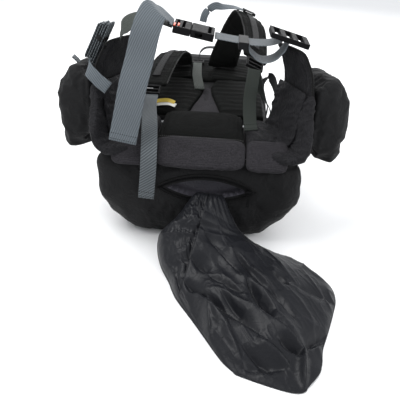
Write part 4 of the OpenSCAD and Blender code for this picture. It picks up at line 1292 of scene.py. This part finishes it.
BEND_PAD = [((-62, -2, 20), 0.86), ((-38, -3, 22), 0.93), ((-22, -4, 26), 0.98), ((-13, -4, 40), 1.0),
            ((-9, -3, 62), 1.0), ((-5, -2, 92), 0.98), ((1, 0, 120), 0.96)]
BEND_ROLL = [((-54, -60, 9), 0.6), ((-30, -69, 8), 0.9), ((-12, -75, 13), 1.02), ((-2, -76, 28), 1.0),
             ((3, -70, 52), 0.85), ((7, -62, 84), 0.65), ((12, -56, 120), 0.45)]
for word, side in SIDES:
    bend("belt_bend_pad", word, side, BEND_PAD, 124, 13, WING_MESH, 90 + side)
    bend("belt_bend_roll", word, side, BEND_ROLL, 62, 23, WING_MESH, 94 + side)

# %% [markdown]
# ## Webbing of the belt
# Flat straps of real width pass over the wings' tips to the buckle, and their spare ends hang down. Each
# route lists the strap's centre and the direction across it, as the frame's solid has them; the strap
# that hangs in front is the most prominent thing here, so it has a sewn hem with two rows of thread.
# %% Belt routes
ACROSS, BACKWARD, TILTED = (0, 1, 0), (0, -1, 0), (0, 0.82, 0.57)
BELT_W, WEB_T = 50.0, 1.8
HEM_ENDS = (1, 2.0)  # a strap's thickness at its start and its sewn end, as shares


def belt(x, y, z):
    """A place measured from the middle of the belt and the height of its core."""
    return (x, y_belt + y, belt_z + z)


def webbing(name, route, width, body, finish, node, ends=(1.0, 1.0), hem=None):
    """A strap with its finish and body, and the thread of its hem, in place of a CAD node, which is hidden.
    """
    piece = sweep(name, route, width, WEB_T, ends=ends)
    piece.data.materials.append(finish)
    if hem is not None:
        piece = join(name, [piece, hem_stitches(name + "_thread", route, width, hem)])
    settle(piece, body, None, [node])


BELT_LEFT = [(belt(-157, -10, 192), TILTED), (belt(-150, -10, 210), TILTED),
             (belt(-130, -10, 224), (0, 0.93, 0.36)), (belt(-104, -10, 230), ACROSS),
             (belt(-80, -10, 224), ACROSS), (belt(-61, -10, 218.5), ACROSS)]
BELT_TAIL = [(belt(-60.4, -10, 222), BACKWARD), (belt(-70, -12, 231), BACKWARD),
             (belt(-80, -22, 241), (0.3, -0.9, -0.2)),
             (belt(-92, -38, 247), (0.6, -0.5, -0.5)), (belt(-103, -60, 218), (0.86, -0.1, -0.45)),
             (belt(-112, -74, 174), (0.93, 0, -0.36)), (belt(-122, -91, 130), (0.94, 0, -0.33)),
             (belt(-131, -105, 76), (0.94, 0, -0.32)), (belt(-139, -115, 30), (0.94, 0, -0.3))]
BELT_RIGHT = [(belt(15, -10, 204.3), ACROSS), (belt(40, -10, 201), ACROSS), (belt(64, -10, 198), ACROSS),
              (belt(92, -10, 196), ACROSS), (belt(116, -10, 198), ACROSS), (belt(135, -10, 205.2), ACROSS)]
LOOP_RIGHT = [(belt(77.4, -10, 191.5), ACROSS), (belt(82, -12, 180), ACROSS), (belt(102, -14, 167), ACROSS),
              (belt(125, -14, 172), ACROSS), (belt(140, -12, 188), ACROSS), (belt(146, -11, 202.2), ACROSS)]
webbing("belt_strap_left", BELT_LEFT, BELT_W, "hip_wing_left", WEBBING_OLIVE,
        "belt_webbing_left")
webbing("belt_tail", BELT_TAIL, BELT_W, "hip_wing_left", WEBBING_PALE, "belt_tail_left",
        ends=(1, 2.1), hem=-1)
webbing("belt_strap_right", BELT_RIGHT, BELT_W, "hip_wing_right", WEBBING_GREY,
        "belt_webbing_right")
webbing("belt_loop", LOOP_RIGHT, BELT_W, "hip_wing_right", WEBBING_PALE, "belt_loop_right")

# %% Coloured bars on the buckle
ACCENT_STEPS, ACCENT_W, ACCENT_T = (4.0, 11.0), 3.6, 1.4


def accent(male_points, step):
    """One bar over the male half's near edge, a step from its inner end."""
    x = male_points[:, 0].min() + step
    around = male_points[np.abs(male_points[:, 0] - x) < 5]
    z, near_y = around[:, 2].max() + 0.3, around[:, 1].min()
    return sweep("accent", [((x, near_y + k, z), (1, 0, -0.3)) for k in (1, 10, 20)], ACCENT_W, ACCENT_T)


male_points, _ = points_of(frame["nodes"]["buckle_male"])
settle(join("buckle_accents", [accent(male_points, step) for step in ACCENT_STEPS]), "hip_wing_left",
       ACCENT_PLASTIC)
print("belt webbing made")

# %% Spare webbing folded on the left wing
BUNDLE_MIDDLE, BUNDLE_LEAN = np.array([16.8, -30.0, 186.0]), math.radians(-27)
BUNDLE_TURNS, BUNDLE_STEP, BUNDLE_START, BUNDLE_HALF = 5, 4.6, -5.6, 41
BUNDLE_W, BAND_W, BAND_HALF, BAND_ROUND, BAND_HEIGHT = 24, 9, (7.3, 12.852), 11.52, 12.0


def in_bundle(points):
    """Places in the folded bundle's own frame, turned about Y by its lean, then set on the wing."""
    c, s = math.cos(BUNDLE_LEAN), math.sin(BUNDLE_LEAN)
    x, y, z = points[..., 0], points[..., 1], points[..., 2]
    return from_wing(np.stack([x * c + z * s, y, z * c - x * s], axis=-1) + BUNDLE_MIDDLE, -1)


def bundle_way(x, y, z):
    """A direction of the bundle's own frame, as it is on the wing."""
    return in_bundle(np.array([x, y, z], float)) - in_bundle(np.zeros(3))


def bundle_folds():
    """The strap's path in the bundle: up and down in turn, a step further out each time, and shorter."""
    path = []
    for turn in range(BUNDLE_TURNS):
        x, top = BUNDLE_START + BUNDLE_STEP * turn, BUNDLE_HALF - 3 * (turn % 2)
        way = 1 if turn % 2 == 0 else -1
        path += [(x, 0, -top + 2 * turn), (x, 0, 0), (x, 0, top - 2 * turn)][::way]
    return in_bundle(np.array(path, float))


def band_ring():
    """The band's path round the bundle: an ellipse whose sides are cut flat."""
    a = np.linspace(0, 2 * np.pi, 17)
    x = np.clip(BAND_ROUND * np.cos(a), -BAND_HALF[0], BAND_HALF[0])
    return in_bundle(np.stack([x, BAND_HALF[1] * np.sin(a), np.full(17, BAND_HEIGHT)], axis=1))


across_bundle, up_bundle = bundle_way(0, 1, 0), bundle_way(0, 0, 1)
bundle = sweep("folded_strap", [(p, across_bundle) for p in bundle_folds()], BUNDLE_W, 2.2, spacing=2.5)
bundle.data.materials.append(WEBBING_GREY)
keeper = sweep("folded_strap_band", [(p, up_bundle) for p in band_ring()], BAND_W, 1.2, spacing=2.0, count=10)
keeper.data.materials.append(WEBBING_BLACK)
BUNDLE_END = [(belt(-205, -44, 148), (0, 0.6, 0.8)), (belt(-206, -66, 146), (0.3, 0.2, 0.9)),
              (belt(-194, -76, 137), (0.45, 0, 0.9)), (belt(-182, -79, 127), (0.5, 0, 0.87)),
              (belt(-168, -80, 117), (0.53, 0, 0.85))]
end = sweep("folded_strap_end", BUNDLE_END, BUNDLE_W, WEB_T, ends=(1, 1.8))
end.data.materials.append(WEBBING_PALE)
settle(join("folded_strap", [bundle, keeper, end]), "hip_wing_left", None,
       ["strap_bundle_left"])
POCKET_TAB = [((x, y_belt + 13, z), ACROSS) for x, z in ((-226, 312), (-236, 326), (-245, 338), (-253, 345))]
settle(sweep("pocket_tab", POCKET_TAB, 17, 3.4), "hip_wing_left", WEBBING_GREY)
print("folded strap and pocket tab made")

# %% [markdown]
# ## Shoulder harness
# The shoulder straps are padded, 62 mm wide and edged with piping. They stand up in a curve from the
# yoke and end in ladder locks, from which thinner webbing goes to the bag and spare ends hang down.
# %% Shoulder straps
STRAP_W, STRAP_T = 62.0, 12.0


def back(x, y, z):
    """A place measured from the top of the back pads."""
    return (x, y, z_pad + z)


STRAP_RIGHT = [(back(30, 178, 8), (1, 0, 0), 1.15), (back(33, 156, 16), (1, 0, 0), 1.15),
               (back(40, 134, 50), (0.9, -0.3, -0.1), 1.1), (back(58, 106, 112), (0.92, -0.3, -0.3), 1),
               (back(78, 52, 160), (0.92, -0.2, -0.36), 0.95), (back(92, -10, 164), (0.9, -0.2, -0.4), 0.92),
               (back(99, -70, 148), (0.85, -0.1, -0.5), 0.9), (back(99, -125, 132), (0.85, 0, -0.5), 0.88),
               (back(97, -166, 122), (0.88, 0, -0.45), 0.85)]
STRAP_LEFT = [(back(-84, 178, 8), (1, 0, 0), 1.15), (back(-84, 154, 16), (1, 0, 0), 1.15),
              (back(-84, 124, 40), (0.97, 0.1, 0.05), 1.1), (back(-87, 84, 58), (0.96, 0.1, 0.1), 1),
              (back(-93, 30, 68), (0.96, 0.2, 0.15), 0.95), (back(-100, -40, 68), (0.96, 0.1, 0.15), 0.92),
              (back(-107, -100, 60), (0.98, 0, 0.1), 0.9), (back(-111, -148, 50), (1, 0, 0.05), 0.85)]


def shoulder_strap(word, route, seed):
    """A padded strap: a rounded section along its route, creased across it, with a sewn dip inside each
    edge and piping on both. Returns its run, its directions across, and those away from the back."""
    rows = np.array([[*r[0], *r[1], r[2]] for r in route], float)
    run, travelled = even_run(rows, 3.2)
    _, side, face = frames_along(run[:, :3], run[:, 3:6])
    across, up = section(1.0, 1.0, 3.4, 48)
    wide = run[:, 6] * STRAP_W
    left = np.minimum(travelled, travelled[-1] - travelled) / 8
    thick = STRAP_T * np.where(left < 1, 0.35 + 0.65 * falloff(1 - np.clip(left, 0, 1), 2), 1)
    flat = np.stack(np.broadcast_arrays(across[None] * wide[:, None], travelled[:, None], 0.0), axis=-1)
    sewn = groove(np.abs(flat[..., 0]) - (wide[:, None] / 2 - 8), 1.8)
    lift = (creases(flat, (60, 18, 10), seed, 4) * 1.5 - 1.0 - 1.6 * sewn) * (thick / STRAP_T)[:, None]
    raised = up[None, :] * thick[:, None] + np.sign(up)[None, :] * lift
    grid = run[:, None, :3] + side[:, None] * flat[..., :1] + face[:, None] * raised[..., None]
    pad = tube_object("shoulder_pad_" + word, grid, flat[..., :2])
    settle(refine(pad), "root", SPACER_MESH, ["shoulder_strap_" + word])
    cords = []
    for way in (-1, 1):
        edge = run[1:-1:4, :3] + side[1:-1:4] * way * (wide[1:-1:4, None] / 2 + 0.3)
        cord = round_tube("edge", edge, 1.7)
        cord.data.materials.append(PIPING)
        cords.append(cord)
    settle(join("shoulder_piping_" + word, cords), "root")
    away = 1 if face[len(face) // 2][2] > 0 else -1
    return run[:, :3], side, face * away


RUNNER_W, RUNNER_T, RUNNER_FROM, RUNNER_TO = 16, 1.2, 0.3, 0.93


def runner(word, strap_run, off_middle):
    """A thin strap sewn along the face of a shoulder strap, from one share of its length to another."""
    run, side, away = strap_run
    part = slice(int(RUNNER_FROM * len(run)), int(RUNNER_TO * len(run)), 3)
    centre = run[part] + away[part] * (STRAP_T / 2 + RUNNER_T) + side[part] * off_middle
    piece = sweep("shoulder_runner_" + word, list(zip(centre, side[part])), RUNNER_W, RUNNER_T)
    settle(piece, "root", WEBBING_BLACK)


right_strap = shoulder_strap("right", STRAP_RIGHT, 70)
left_strap = shoulder_strap("left", STRAP_LEFT, 75)
runner("right", right_strap, -4)
runner("left", left_strap, 0)
print("shoulder straps made")

# %% Thin webbing of the harness
TAIL_RIGHT = [(back(97, -202.5, 113.2), (0.95, 0, -0.3)), (back(93, -219, 84), (0.98, 0, -0.1)),
              (back(91, -232, 54), (1, 0, 0)), ((94, y_belt + 8, z_pad + 24), (1, 0, 0)),
              ((97, y_belt - 10, z_pad + 13), (1, 0, 0))]
webbing("shoulder_tail_right_strap", TAIL_RIGHT, 26, "root", WEBBING_OLIVE,
        "shoulder_tail_right", ends=HEM_ENDS, hem=-1)
TAIL_LEFT = [(back(-112.5, -184, 41.6), (1, 0, 0)), (back(-109, -240, 38), (1, 0.05, 0)),
             ((-99, y_end + 40, z_pad + 32), (1, 0.1, 0)), ((-94, y_end - 2, z_pad + 17), (1, 0.1, 0)),
             ((-92, y_end - 25, z_pad - 6), (1, 0, 0)), ((-93, y_end - 30, z_pad - 44), (1, 0, 0)),
             ((-97, y_end - 28, z_pad - 96), (1, 0, 0))]
webbing("shoulder_tail_left_strap", TAIL_LEFT, 30, "root", WEBBING_GREY,
        "shoulder_tail_left", ends=HEM_ENDS, hem=-1)

# The bag's sides lean in by SIDE_LEAN between their upper and lower rounding.
SIDE_LEAN, UPPER_ROUNDING, LOWER_ROUNDING = 15, 26, 32
lean = SIDE_LEAN / (z_back - UPPER_ROUNDING - LOWER_ROUNDING - z_clear)
NARROW_W = 20  # the narrow webbing's width


def wall_x(z):
    """Half the main bag's width at a height: its sides lean in towards the front."""
    return body_half - lean * (z_back - UPPER_ROUNDING - z)


webbing_y, webbing_z = y_join + 14, z_back - 44
side_x, foot_x = body_half + WEB_T, wall_x(webbing_z) + 1.2
FROM_RIGHT = [(back(99.5, -179, 109.2), (0.9, 0, -0.4)), (back(110, -160, 70), (0.8, 0, -0.5)),
              (back(128, -145, 30), (0.5, -0.6, -0.4)), (back(144, y_join + 12, 0), (0.1, -1, -0.1)),
              ((side_x, webbing_y, z_back - 16), BACKWARD), ((foot_x, webbing_y, webbing_z), BACKWARD)]
FROM_LEFT = [(back(-115, -160, 42.4), (1, 0, 0)), (back(-124, -146, 20), (0.8, 0.5, 0.2)),
             (back(-143, webbing_y, 2), (0.1, 1, 0)),
             ((-side_x, webbing_y, z_back - 16), ACROSS), ((-foot_x, webbing_y, webbing_z), ACROSS)]
webbing("shoulder_webbing_right_strap", FROM_RIGHT, NARROW_W, "root", WEBBING_OLIVE,
        "shoulder_webbing_right")
webbing("shoulder_webbing_left_strap", FROM_LEFT, NARROW_W, "root", WEBBING_OLIVE,
        "shoulder_webbing_left")


def strap_set(name, routes, body, finish, node):
    """Several narrow straps along their own routes, as one piece."""
    made = [sweep(name, route, NARROW_W, WEB_T) for route in routes]
    for piece in made:
        piece.data.materials.append(finish)
    settle(join(name, made), body, None, [node])


LIFTERS = [[(back(52, 124, 102), (1, -0.2, 0)), (back(60, 180, 62), (1, 0, 0)),
            (back(64, y_top - 58, 14), (1, 0, 0)), (back(66, y_top - 36, -8), (1, 0, 0)),
            ((66, y_top - 24, z_panel + 1.3), (1, 0, 0))],
           [(back(-84, 108, 57), (1, 0, 0)), (back(-80, 180, 36), (1, 0, 0)),
            (back(-76, y_top - 58, 12), (1, 0, 0)), (back(-72, y_top - 36, -8), (1, 0, 0)),
            ((-72, y_top - 24, z_panel + 1.3), (1, 0, 0))]]
strap_set("load_lifter_straps", LIFTERS, "root", WEBBING_OLIVE, "load_lifters")

STERNUM = [(back(70.4, 22.6, 182.6), (0, 1, 0)), (back(50, 18, 188), (0.1, 1, 0.2)),
           (back(24, 6, 190), (0.2, 0.8, 0.5)), (back(6, -4, 192), (0.3, 0.3, 0.9)),
           (back(-12, -8, 178), (0.8, 0, 0.4)), (back(-18, -10, 158), (0.9, 0.2, 0))]
webbing("sternum_webbing", STERNUM, 16, "root", WEBBING_PALE, "sternum_strap", ends=(1, 1.8))

BACK_ADJUST = [(back(x, y, z), (1, 0.1, 0)) for x, y, z in
               ((-34, 188, 7), (-33, 150, 6), (-30, 90, 4), (-24, 40, 1.5), (-18, -12, 1.5))]
webbing("back_adjust_webbing", BACK_ADJUST, 24, "root", WEBBING_OLIVE, "back_adjust_strap",
        ends=HEM_ENDS, hem=-1)

HAUL = [((-34, y_top - 31, z_panel + 1.8), (0, 1, 0)), ((-32, y_top - 27, z_panel + 26), (0, 1, 0.1)),
        ((-16, y_top - 21, z_panel + 40), (0, 1, 0)), ((16, y_top - 21, z_panel + 40), (0, 1, 0)),
        ((32, y_top - 27, z_panel + 26), (0, 1, 0.1)), ((34, y_top - 31, z_panel + 1.8), (0, 1, 0))]
webbing("haul_handle", HAUL, 25, "root", WEBBING_BLACK, "haul_loop")

SIDE_LOOP = [((body_half + 2, -84, 168), (0, 1, 0.2)), ((body_half + 10, -92, 205), (0.2, 1, 0.2)),
             ((body_half + 4, -104, 252), (0.5, 0.8, 0)), ((body_half - 14, -116, 286), (0.8, 0.4, 0.4)),
             ((body_half - 30, -112, 262), (0.6, 0.7, 0)), ((body_half - 18, -102, 222), (0.2, 1, 0)),
             ((body_half - 11, -98, z_back + 1.4), (0, 1, 0))]
webbing("side_loop_strap", SIDE_LOOP, 18, "root", WEBBING_BLACK, "side_loop_right")
print("harness webbing made")

# %% Straps of the bag and the lid


def side_route(way, y):
    """A side strap's route, from the back face down the bag's side and round to its front."""
    out = WEB_T / 2 + 0.3
    places = [(body_half - 18.5, z_back + out), (body_half - 9, z_back + out + 0.6),
              (body_half - 0.5, z_back - 14), (body_half + out + 0.4, z_back - 30),
              (wall_x(100) + out + 0.4, 100), (wall_x(62) + out + 0.4, 62),
              (wall_x(62) - 2.8, 42), (wall_x(62) - 10.5, 31)]
    return [((way * x, y, z), (0, way, 0)) for x, z in places]


def lid_route(x):
    """A lid strap's route, under the lid from its far edge to the bag."""
    places = [(high("lid")[1] - 20, 0), (low("lid")[1] + 20, 0), (y_top + 10, 0.7), (y_top - 24.4, 3.3)]
    return [((x, y, low("lid_straps")[2] + 1.0 + z), (1, 0, 0)) for y, z in places]


strap_set("side_compression_straps", [side_route(way, y) for way in (-1, 1) for y in COMPRESSION_Y], "root",
          WEBBING_BLACK, "side_straps")
strap_set("lid_webbing", [lid_route(x) for x in (-70, 70)], "lid", WEBBING_BLACK,
          "lid_straps")

zip_low, zip_high = low("lid_zip"), high("lid_zip")
lid_zip_path = np.array([(x, zip_low[1] + 0.4, (zip_low[2] + zip_high[2]) / 2)
                         for x in np.linspace(zip_low[0] + 2, zip_high[0] - 2, 12)])
settle(zip_run("lid_zip_coil", lid_zip_path, [0, 1.0, 0], tape=5.6), "lid", None, ["lid_zip"])
print("side straps, lid straps and lid zip made")

# %% Sewn label
LABEL = [((-112, pad_near + 22, z_pad + 1), (0, 1, 0)), ((-95, pad_near + 20, z_pad + 6), (0, 1, 0)),
         ((-78, pad_near + 18, z_pad + 8), (0, 1, 0)), ((-64, pad_near + 16, z_pad + 4), (0, 1, 0))]
label = sweep("sewn_label", LABEL, 24, 0.8, count=12)
label.data.materials.append(LABEL_WHITE)
LABEL_TOP = [((p[0][0] - 3, p[0][1] + 9, p[0][2] + 3.5), (0, 1, 0.4)) for p in LABEL]
label_top = sweep("label_fold", LABEL_TOP, 12, 0.7, count=12)
label_top.data.materials.append(LABEL_YELLOW)
settle(join("sewn_label", [label, label_top]), "root", None, ["size_label"])

# %% [markdown]
# ## Rain cover
# The cover is one sheet of thin coated nylon, gathered at its neck and spread on the floor. Its folds
# radiate from the neck, each like a long lens: widest in its middle and closed at both ends. It is a
# height over a fan-shaped grid, from its left edge to its right, with one such lens added for each fold.
# A cloth simulation would drape it too, but its folds wouldn't run where these do.
# %% Cover surface
COVER_LEFT = [(-10, 22, 94), (-14, 0, 120), (-22, -10, 122), (-34, -20, 106), (-58, -42, 74), (-84, -46, 42),
              (-86, -66, 24), (-76, -98, 10), (-58, -132, 1), (-40, -178, 1), (-6, -234, 1), (22, -282, 1),
              (44, -318, 1), (64, -340, 1)]
COVER_RIGHT = [(27, 22, 92), (28, 0, 118), (36, -12, 116), (50, -22, 88), (68, -28, 58), (98, -24, 28),
               (136, -22, 6), (178, -34, 1), (214, -72, 1), (240, -112, 1), (245, -150, 1), (234, -192, 1),
               (218, -240, 1), (204, -280, 1), (196, -318, 1), (172, -346, 1)]
COVER_HUMP = [0, 3, 8, 20, 46, 60, 58, 52, 48, 42, 34, 16, 0]
COVER_FORWARD = [0, 6, 16, 26, 34, 44, 36, 22, 8, 0, 0, 0, 0]
# Folds: where each starts and ends, as shares of the length and of the width, then its half width and
# height in millimetres. A valley's height is negative.
COVER_FOLDS = [
    (0.71, -0.75, 0.85, -0.14, 11, -13), (0.52, -0.03, 0.71, 0.06, 8, -10), (0.67, -0.13, 0.81, 0.09, 9, -12),
    (0.71, 0.14, 0.80, 0.46, 6, -7), (0.41, -0.23, 0.66, -0.18, 7, -8), (0.57, -0.66, 0.64, -0.53, 9, -8),
    (0.66, -0.55, 0.73, -0.21, 6, -6), (0.88, -0.51, 0.95, -0.08, 7, -7), (0.66, -0.93, 0.82, -0.98, 16, -8),
    (0.86, 0.16, 0.89, 0.66, 8, -10), (0.68, 0.50, 0.70, 1.00, 12, -5), (0.72, -0.50, 0.80, -0.34, 8, -6),
    (0.87, 0.65, 0.81, 1.00, 9, -10), (0.96, -0.68, 0.93, 0.28, 12, -5), (0.66, -0.85, 0.72, -0.73, 9, -10),
    (0.62, 0.24, 0.68, 0.38, 6, -5), (0.71, -0.51, 0.87, 0.65, 12, 10), (0.53, 0.03, 0.71, 0.18, 6, 7),
    (0.50, -0.23, 0.69, -0.09, 9, 6), (0.70, -0.80, 0.83, -0.61, 9, 7), (0.82, -0.66, 0.94, -0.65, 9, 6),
    (0.86, -0.24, 0.92, 0.34, 9, 7), (0.87, 0.66, 1.00, 0.92, 7, 9), (0.46, 0.87, 0.60, 0.98, 12, 5),
    (0.78, 0.13, 0.86, 0.60, 12, 7), (0.62, -0.04, 0.78, 0.19, 7, 6), (0.75, -0.76, 0.85, -0.97, 8, 5),
    (0.56, -0.95, 0.70, -0.97, 8, 7),
]
FOLD_DEPTH = 1.45  # how much deeper than listed the folds are made
# Where the turned edge runs: from the neck, down the sheet and out to its left edge.
COVER_TURNED = [((0.1, 0.02), (0.4, -0.3)), ((0.36, -0.24), (0.64, -0.82))]


def cover_base(rows, columns):
    """The smooth sheet: from the left edge to the right at each share s of its length, domed by a hump
    and brought forward, both times the falloff across it, and bowed out at its far end."""
    s, t = np.linspace(0, 1, rows)[:, None], np.linspace(-1, 1, columns)[None]
    left, right = smooth(COVER_LEFT, 12), smooth(COVER_RIGHT, 12)
    a = np.stack([np.interp(s[:, 0], np.linspace(0, 1, len(left)), left[:, k]) for k in range(3)], axis=1)
    b = np.stack([np.interp(s[:, 0], np.linspace(0, 1, len(right)), right[:, k]) for k in range(3)], axis=1)
    grid = a[:, None] + (b - a)[:, None] * ((t + 1) / 2)[..., None]
    hump = np.interp(s, np.linspace(0, 1, len(COVER_HUMP)), COVER_HUMP)
    height = hump * np.where(t < 0, falloff(t, 2.4), falloff(t, 1.5))
    ahead = np.interp(s, np.linspace(0, 1, len(COVER_FORWARD)), COVER_FORWARD) * falloff(t, 2)
    grid[..., 1] -= ahead + (18 + 14 * t) * falloff(t, 3) * np.clip((s - 0.8) / 0.2, 0, 1)
    grid[..., 2] += height
    return grid, s, t


def beside(grid, start, end):
    """For each point: its share along the straight line between two places on the sheet, its distance
    from that line, and which side of it the point is on, from the sign of their cross product."""
    rows, columns = grid.shape[:2]
    ends = [grid[int(s * (rows - 1)), int((t + 1) / 2 * (columns - 1))] for s, t in (start, end)]
    run = ends[1] - ends[0]
    share = np.clip((grid - ends[0]) @ run / (run @ run), 0, 1)
    away = grid - ends[0] - share[..., None] * run
    return share, np.linalg.norm(away, axis=-1), np.sign(run[0] * away[..., 1] - run[1] * away[..., 0])


def cover_points(rows, columns):
    """The smooth sheet with its folds: each adds its height times a lens, the root of the sine along it,
    times a bell across it that is steeper on one side. Small creases follow the long folds, and the
    sheet stays down at both edges. Beside the neck it is drawn into small gathers under a turned edge."""
    grid, s, t = cover_base(rows, columns)
    height = 0
    for s0, t0, s1, t1, half_width, rise in COVER_FOLDS:
        share, away, side = beside(grid, (s0, t0), (s1, t1))
        lens = np.sin(np.pi * np.clip(share, 0.02, 0.98)) ** 0.6
        reach = half_width * (0.3 + 0.7 * lens) * np.where(side * rise < 0, 1.25, 0.6)
        height = height + FOLD_DEPTH * rise * lens * np.exp(-(away / reach) ** 1.6)
    slanted = np.stack([grid[..., 0] * 0.85 + grid[..., 1] * 0.53, grid[..., 1] * 0.85 - grid[..., 0] * 0.53,
                        0 * grid[..., 2]], axis=-1)
    height = height + creases(slanted, (18, 70, 9), 81, 3) * 2.6 - 1.3 + noise(grid, (38, 38, 60), 83) * 2
    height = height + creases(slanted, (9, 20, 30), 85, 5) * 0.9
    gathers = noise(grid, (5, 26, 9), 87) * 3.6 + creases(grid, (8, 9, 12), 89, 3) * 3.4
    for start, end in COVER_TURNED:
        turned, beyond, side = beside(grid, start, end)
        near = np.sin(np.pi * np.clip(turned, 0.03, 0.97)) ** 0.4
        height = height + near * np.where(side > 0, 9 * np.exp(-beyond / 30), -6 * np.exp(-beyond / 12))
        height = height + gathers * near * (side <= 0) * np.clip(beyond / 5, 0, 1) * np.exp(-beyond / 45)
    at_neck = np.clip((0.3 - s) / 0.2, 0, 1)
    height = height + np.sin(t * 21 + 3 * s) * 3.0 * at_neck * (1 - t * t)
    height = height * np.clip((s - 0.02) / 0.2, 0.2, 1) * np.minimum(falloff(t, 3) * 1.5, 1)
    down = np.clip((s - 0.08) / 0.3, 0, 1)
    grid[..., 1] -= height * (1 - down) * 0.8
    grid[..., 2] += height * (0.5 + 0.5 * down) * np.clip((1 - s) / 0.04, 0, 1)
    return grid, (t + 1) / 2


# %% Cover sheet and hem
COVER_ROWS, COVER_COLUMNS, COVER_MIDDLE = 300, 220, 110
COVER_THICKNESS = 0.0006  # in metres
HEM_FROM = 60  # the row of the sheet where its hem starts, below the neck
cover_grid, cover_share = cover_points(COVER_ROWS, COVER_COLUMNS)
cover_grid = cover_grid + np.array([mouth[0], y_end, 0.0])
cover_grid[..., 2] = np.maximum(cover_grid[..., 2], 1.0 + 0.8 * np.abs(noise(cover_grid, 20, 95)))
cover_along = lengths_along(cover_grid[:, COVER_MIDDLE])[:, None]
cover_uv = np.stack(np.broadcast_arrays(cover_share * 500, cover_along), axis=-1).reshape(-1, 2)
cover_faces = grid_faces(COVER_ROWS, COVER_COLUMNS, False)
cover = mesh_object("rain_cover_sheet", cover_grid.reshape(-1, 3), cover_faces, cover_uv)
wall = cover.modifiers.new("thickness", "SOLIDIFY")
wall.thickness, wall.offset = COVER_THICKNESS, -1.0
settle(cover, "root", COVER_NYLON, ["rain_cover"])
edge_path = np.concatenate([cover_grid[HEM_FROM:-1:4, 0], cover_grid[-1, 2:-2:4],
                            cover_grid[-1:HEM_FROM:-4, -1]])
hem = round_tube("rain_cover_hem", edge_path + [0, 0, 0.4], 1.3)
settle(hem, "root", COVER_NYLON)


# %% [markdown]
# ## Moulded and metal parts
# Buckles, ladder locks, sliders, the frame sheet and its stays keep the frame's own shapes, which are
# exact. Their edges are welded and rounded a little, so that they catch the light as moulded plastic
# does, and each gets its finish.
# %% Finishes of the hard parts
HARD = {
    "buckle_male": (BLACK_PLASTIC, 1.6), "buckle_female": (BLACK_PLASTIC, 1.6),
    "belt_slider_right": (BLACK_PLASTIC, 1.8), "belt_keeper": (WEBBING_BLACK, 1.0),
    "ladder_lock_left": (BLACK_PLASTIC, 1.0), "ladder_lock_right": (BLACK_PLASTIC, 1.0),
    "sternum_slider": (BLACK_PLASTIC, 0.8), "back_adjust_buckle": (BLACK_PLASTIC, 0.9),
    "side_buckles": (BLACK_PLASTIC, 1.2), "lid_buckles": (BLACK_PLASTIC, 1.2),
    "base_zip_slider": (BLACK_PLASTIC, 0.6), "base_zip_pull": (BLACK_PLASTIC, 0.4),
    "lid_zip_slider": (BLACK_PLASTIC, 0.6), "lid_zip_pull": (GREY_PLASTIC, 0.4),
    "pocket_slider_left": (BLACK_PLASTIC, 0.6), "pocket_slider_right": (BLACK_PLASTIC, 0.6),
    "pocket_pull_left": (GREY_PLASTIC, 0.4), "pocket_pull_right": (GREY_PLASTIC, 0.4),
    "frame_sheet": (FRAME_PLASTIC, 0.0), "frame_stays": (STAY_METAL, 0.4), "belt_core": (WEBBING_BLACK, 0.0),
}
EDGE_ANGLE = math.radians(40)  # edges sharper than this are rounded
WELD_REACH = 0.00005  # in metres


def finish_hard_part(node, finish, radius):
    """Gives a node of the frame its finish, and rounds its edges to a radius unless that is nought."""
    for face_slot in node.material_slots:
        face_slot.material = finish
    if not node.material_slots:
        node.data.materials.append(finish)
    if radius:
        weld = node.modifiers.new("weld", "WELD")
        weld.merge_threshold = WELD_REACH
        bevel = node.modifiers.new("round edges", "BEVEL")
        bevel.width, bevel.segments, bevel.limit_method = radius * MM, 2, "ANGLE"
        bevel.angle_limit = EDGE_ANGLE


for name, (finish, radius) in HARD.items():
    finish_hard_part(frame["nodes"][name], finish, radius)
print(len(HARD), "hard parts finished")
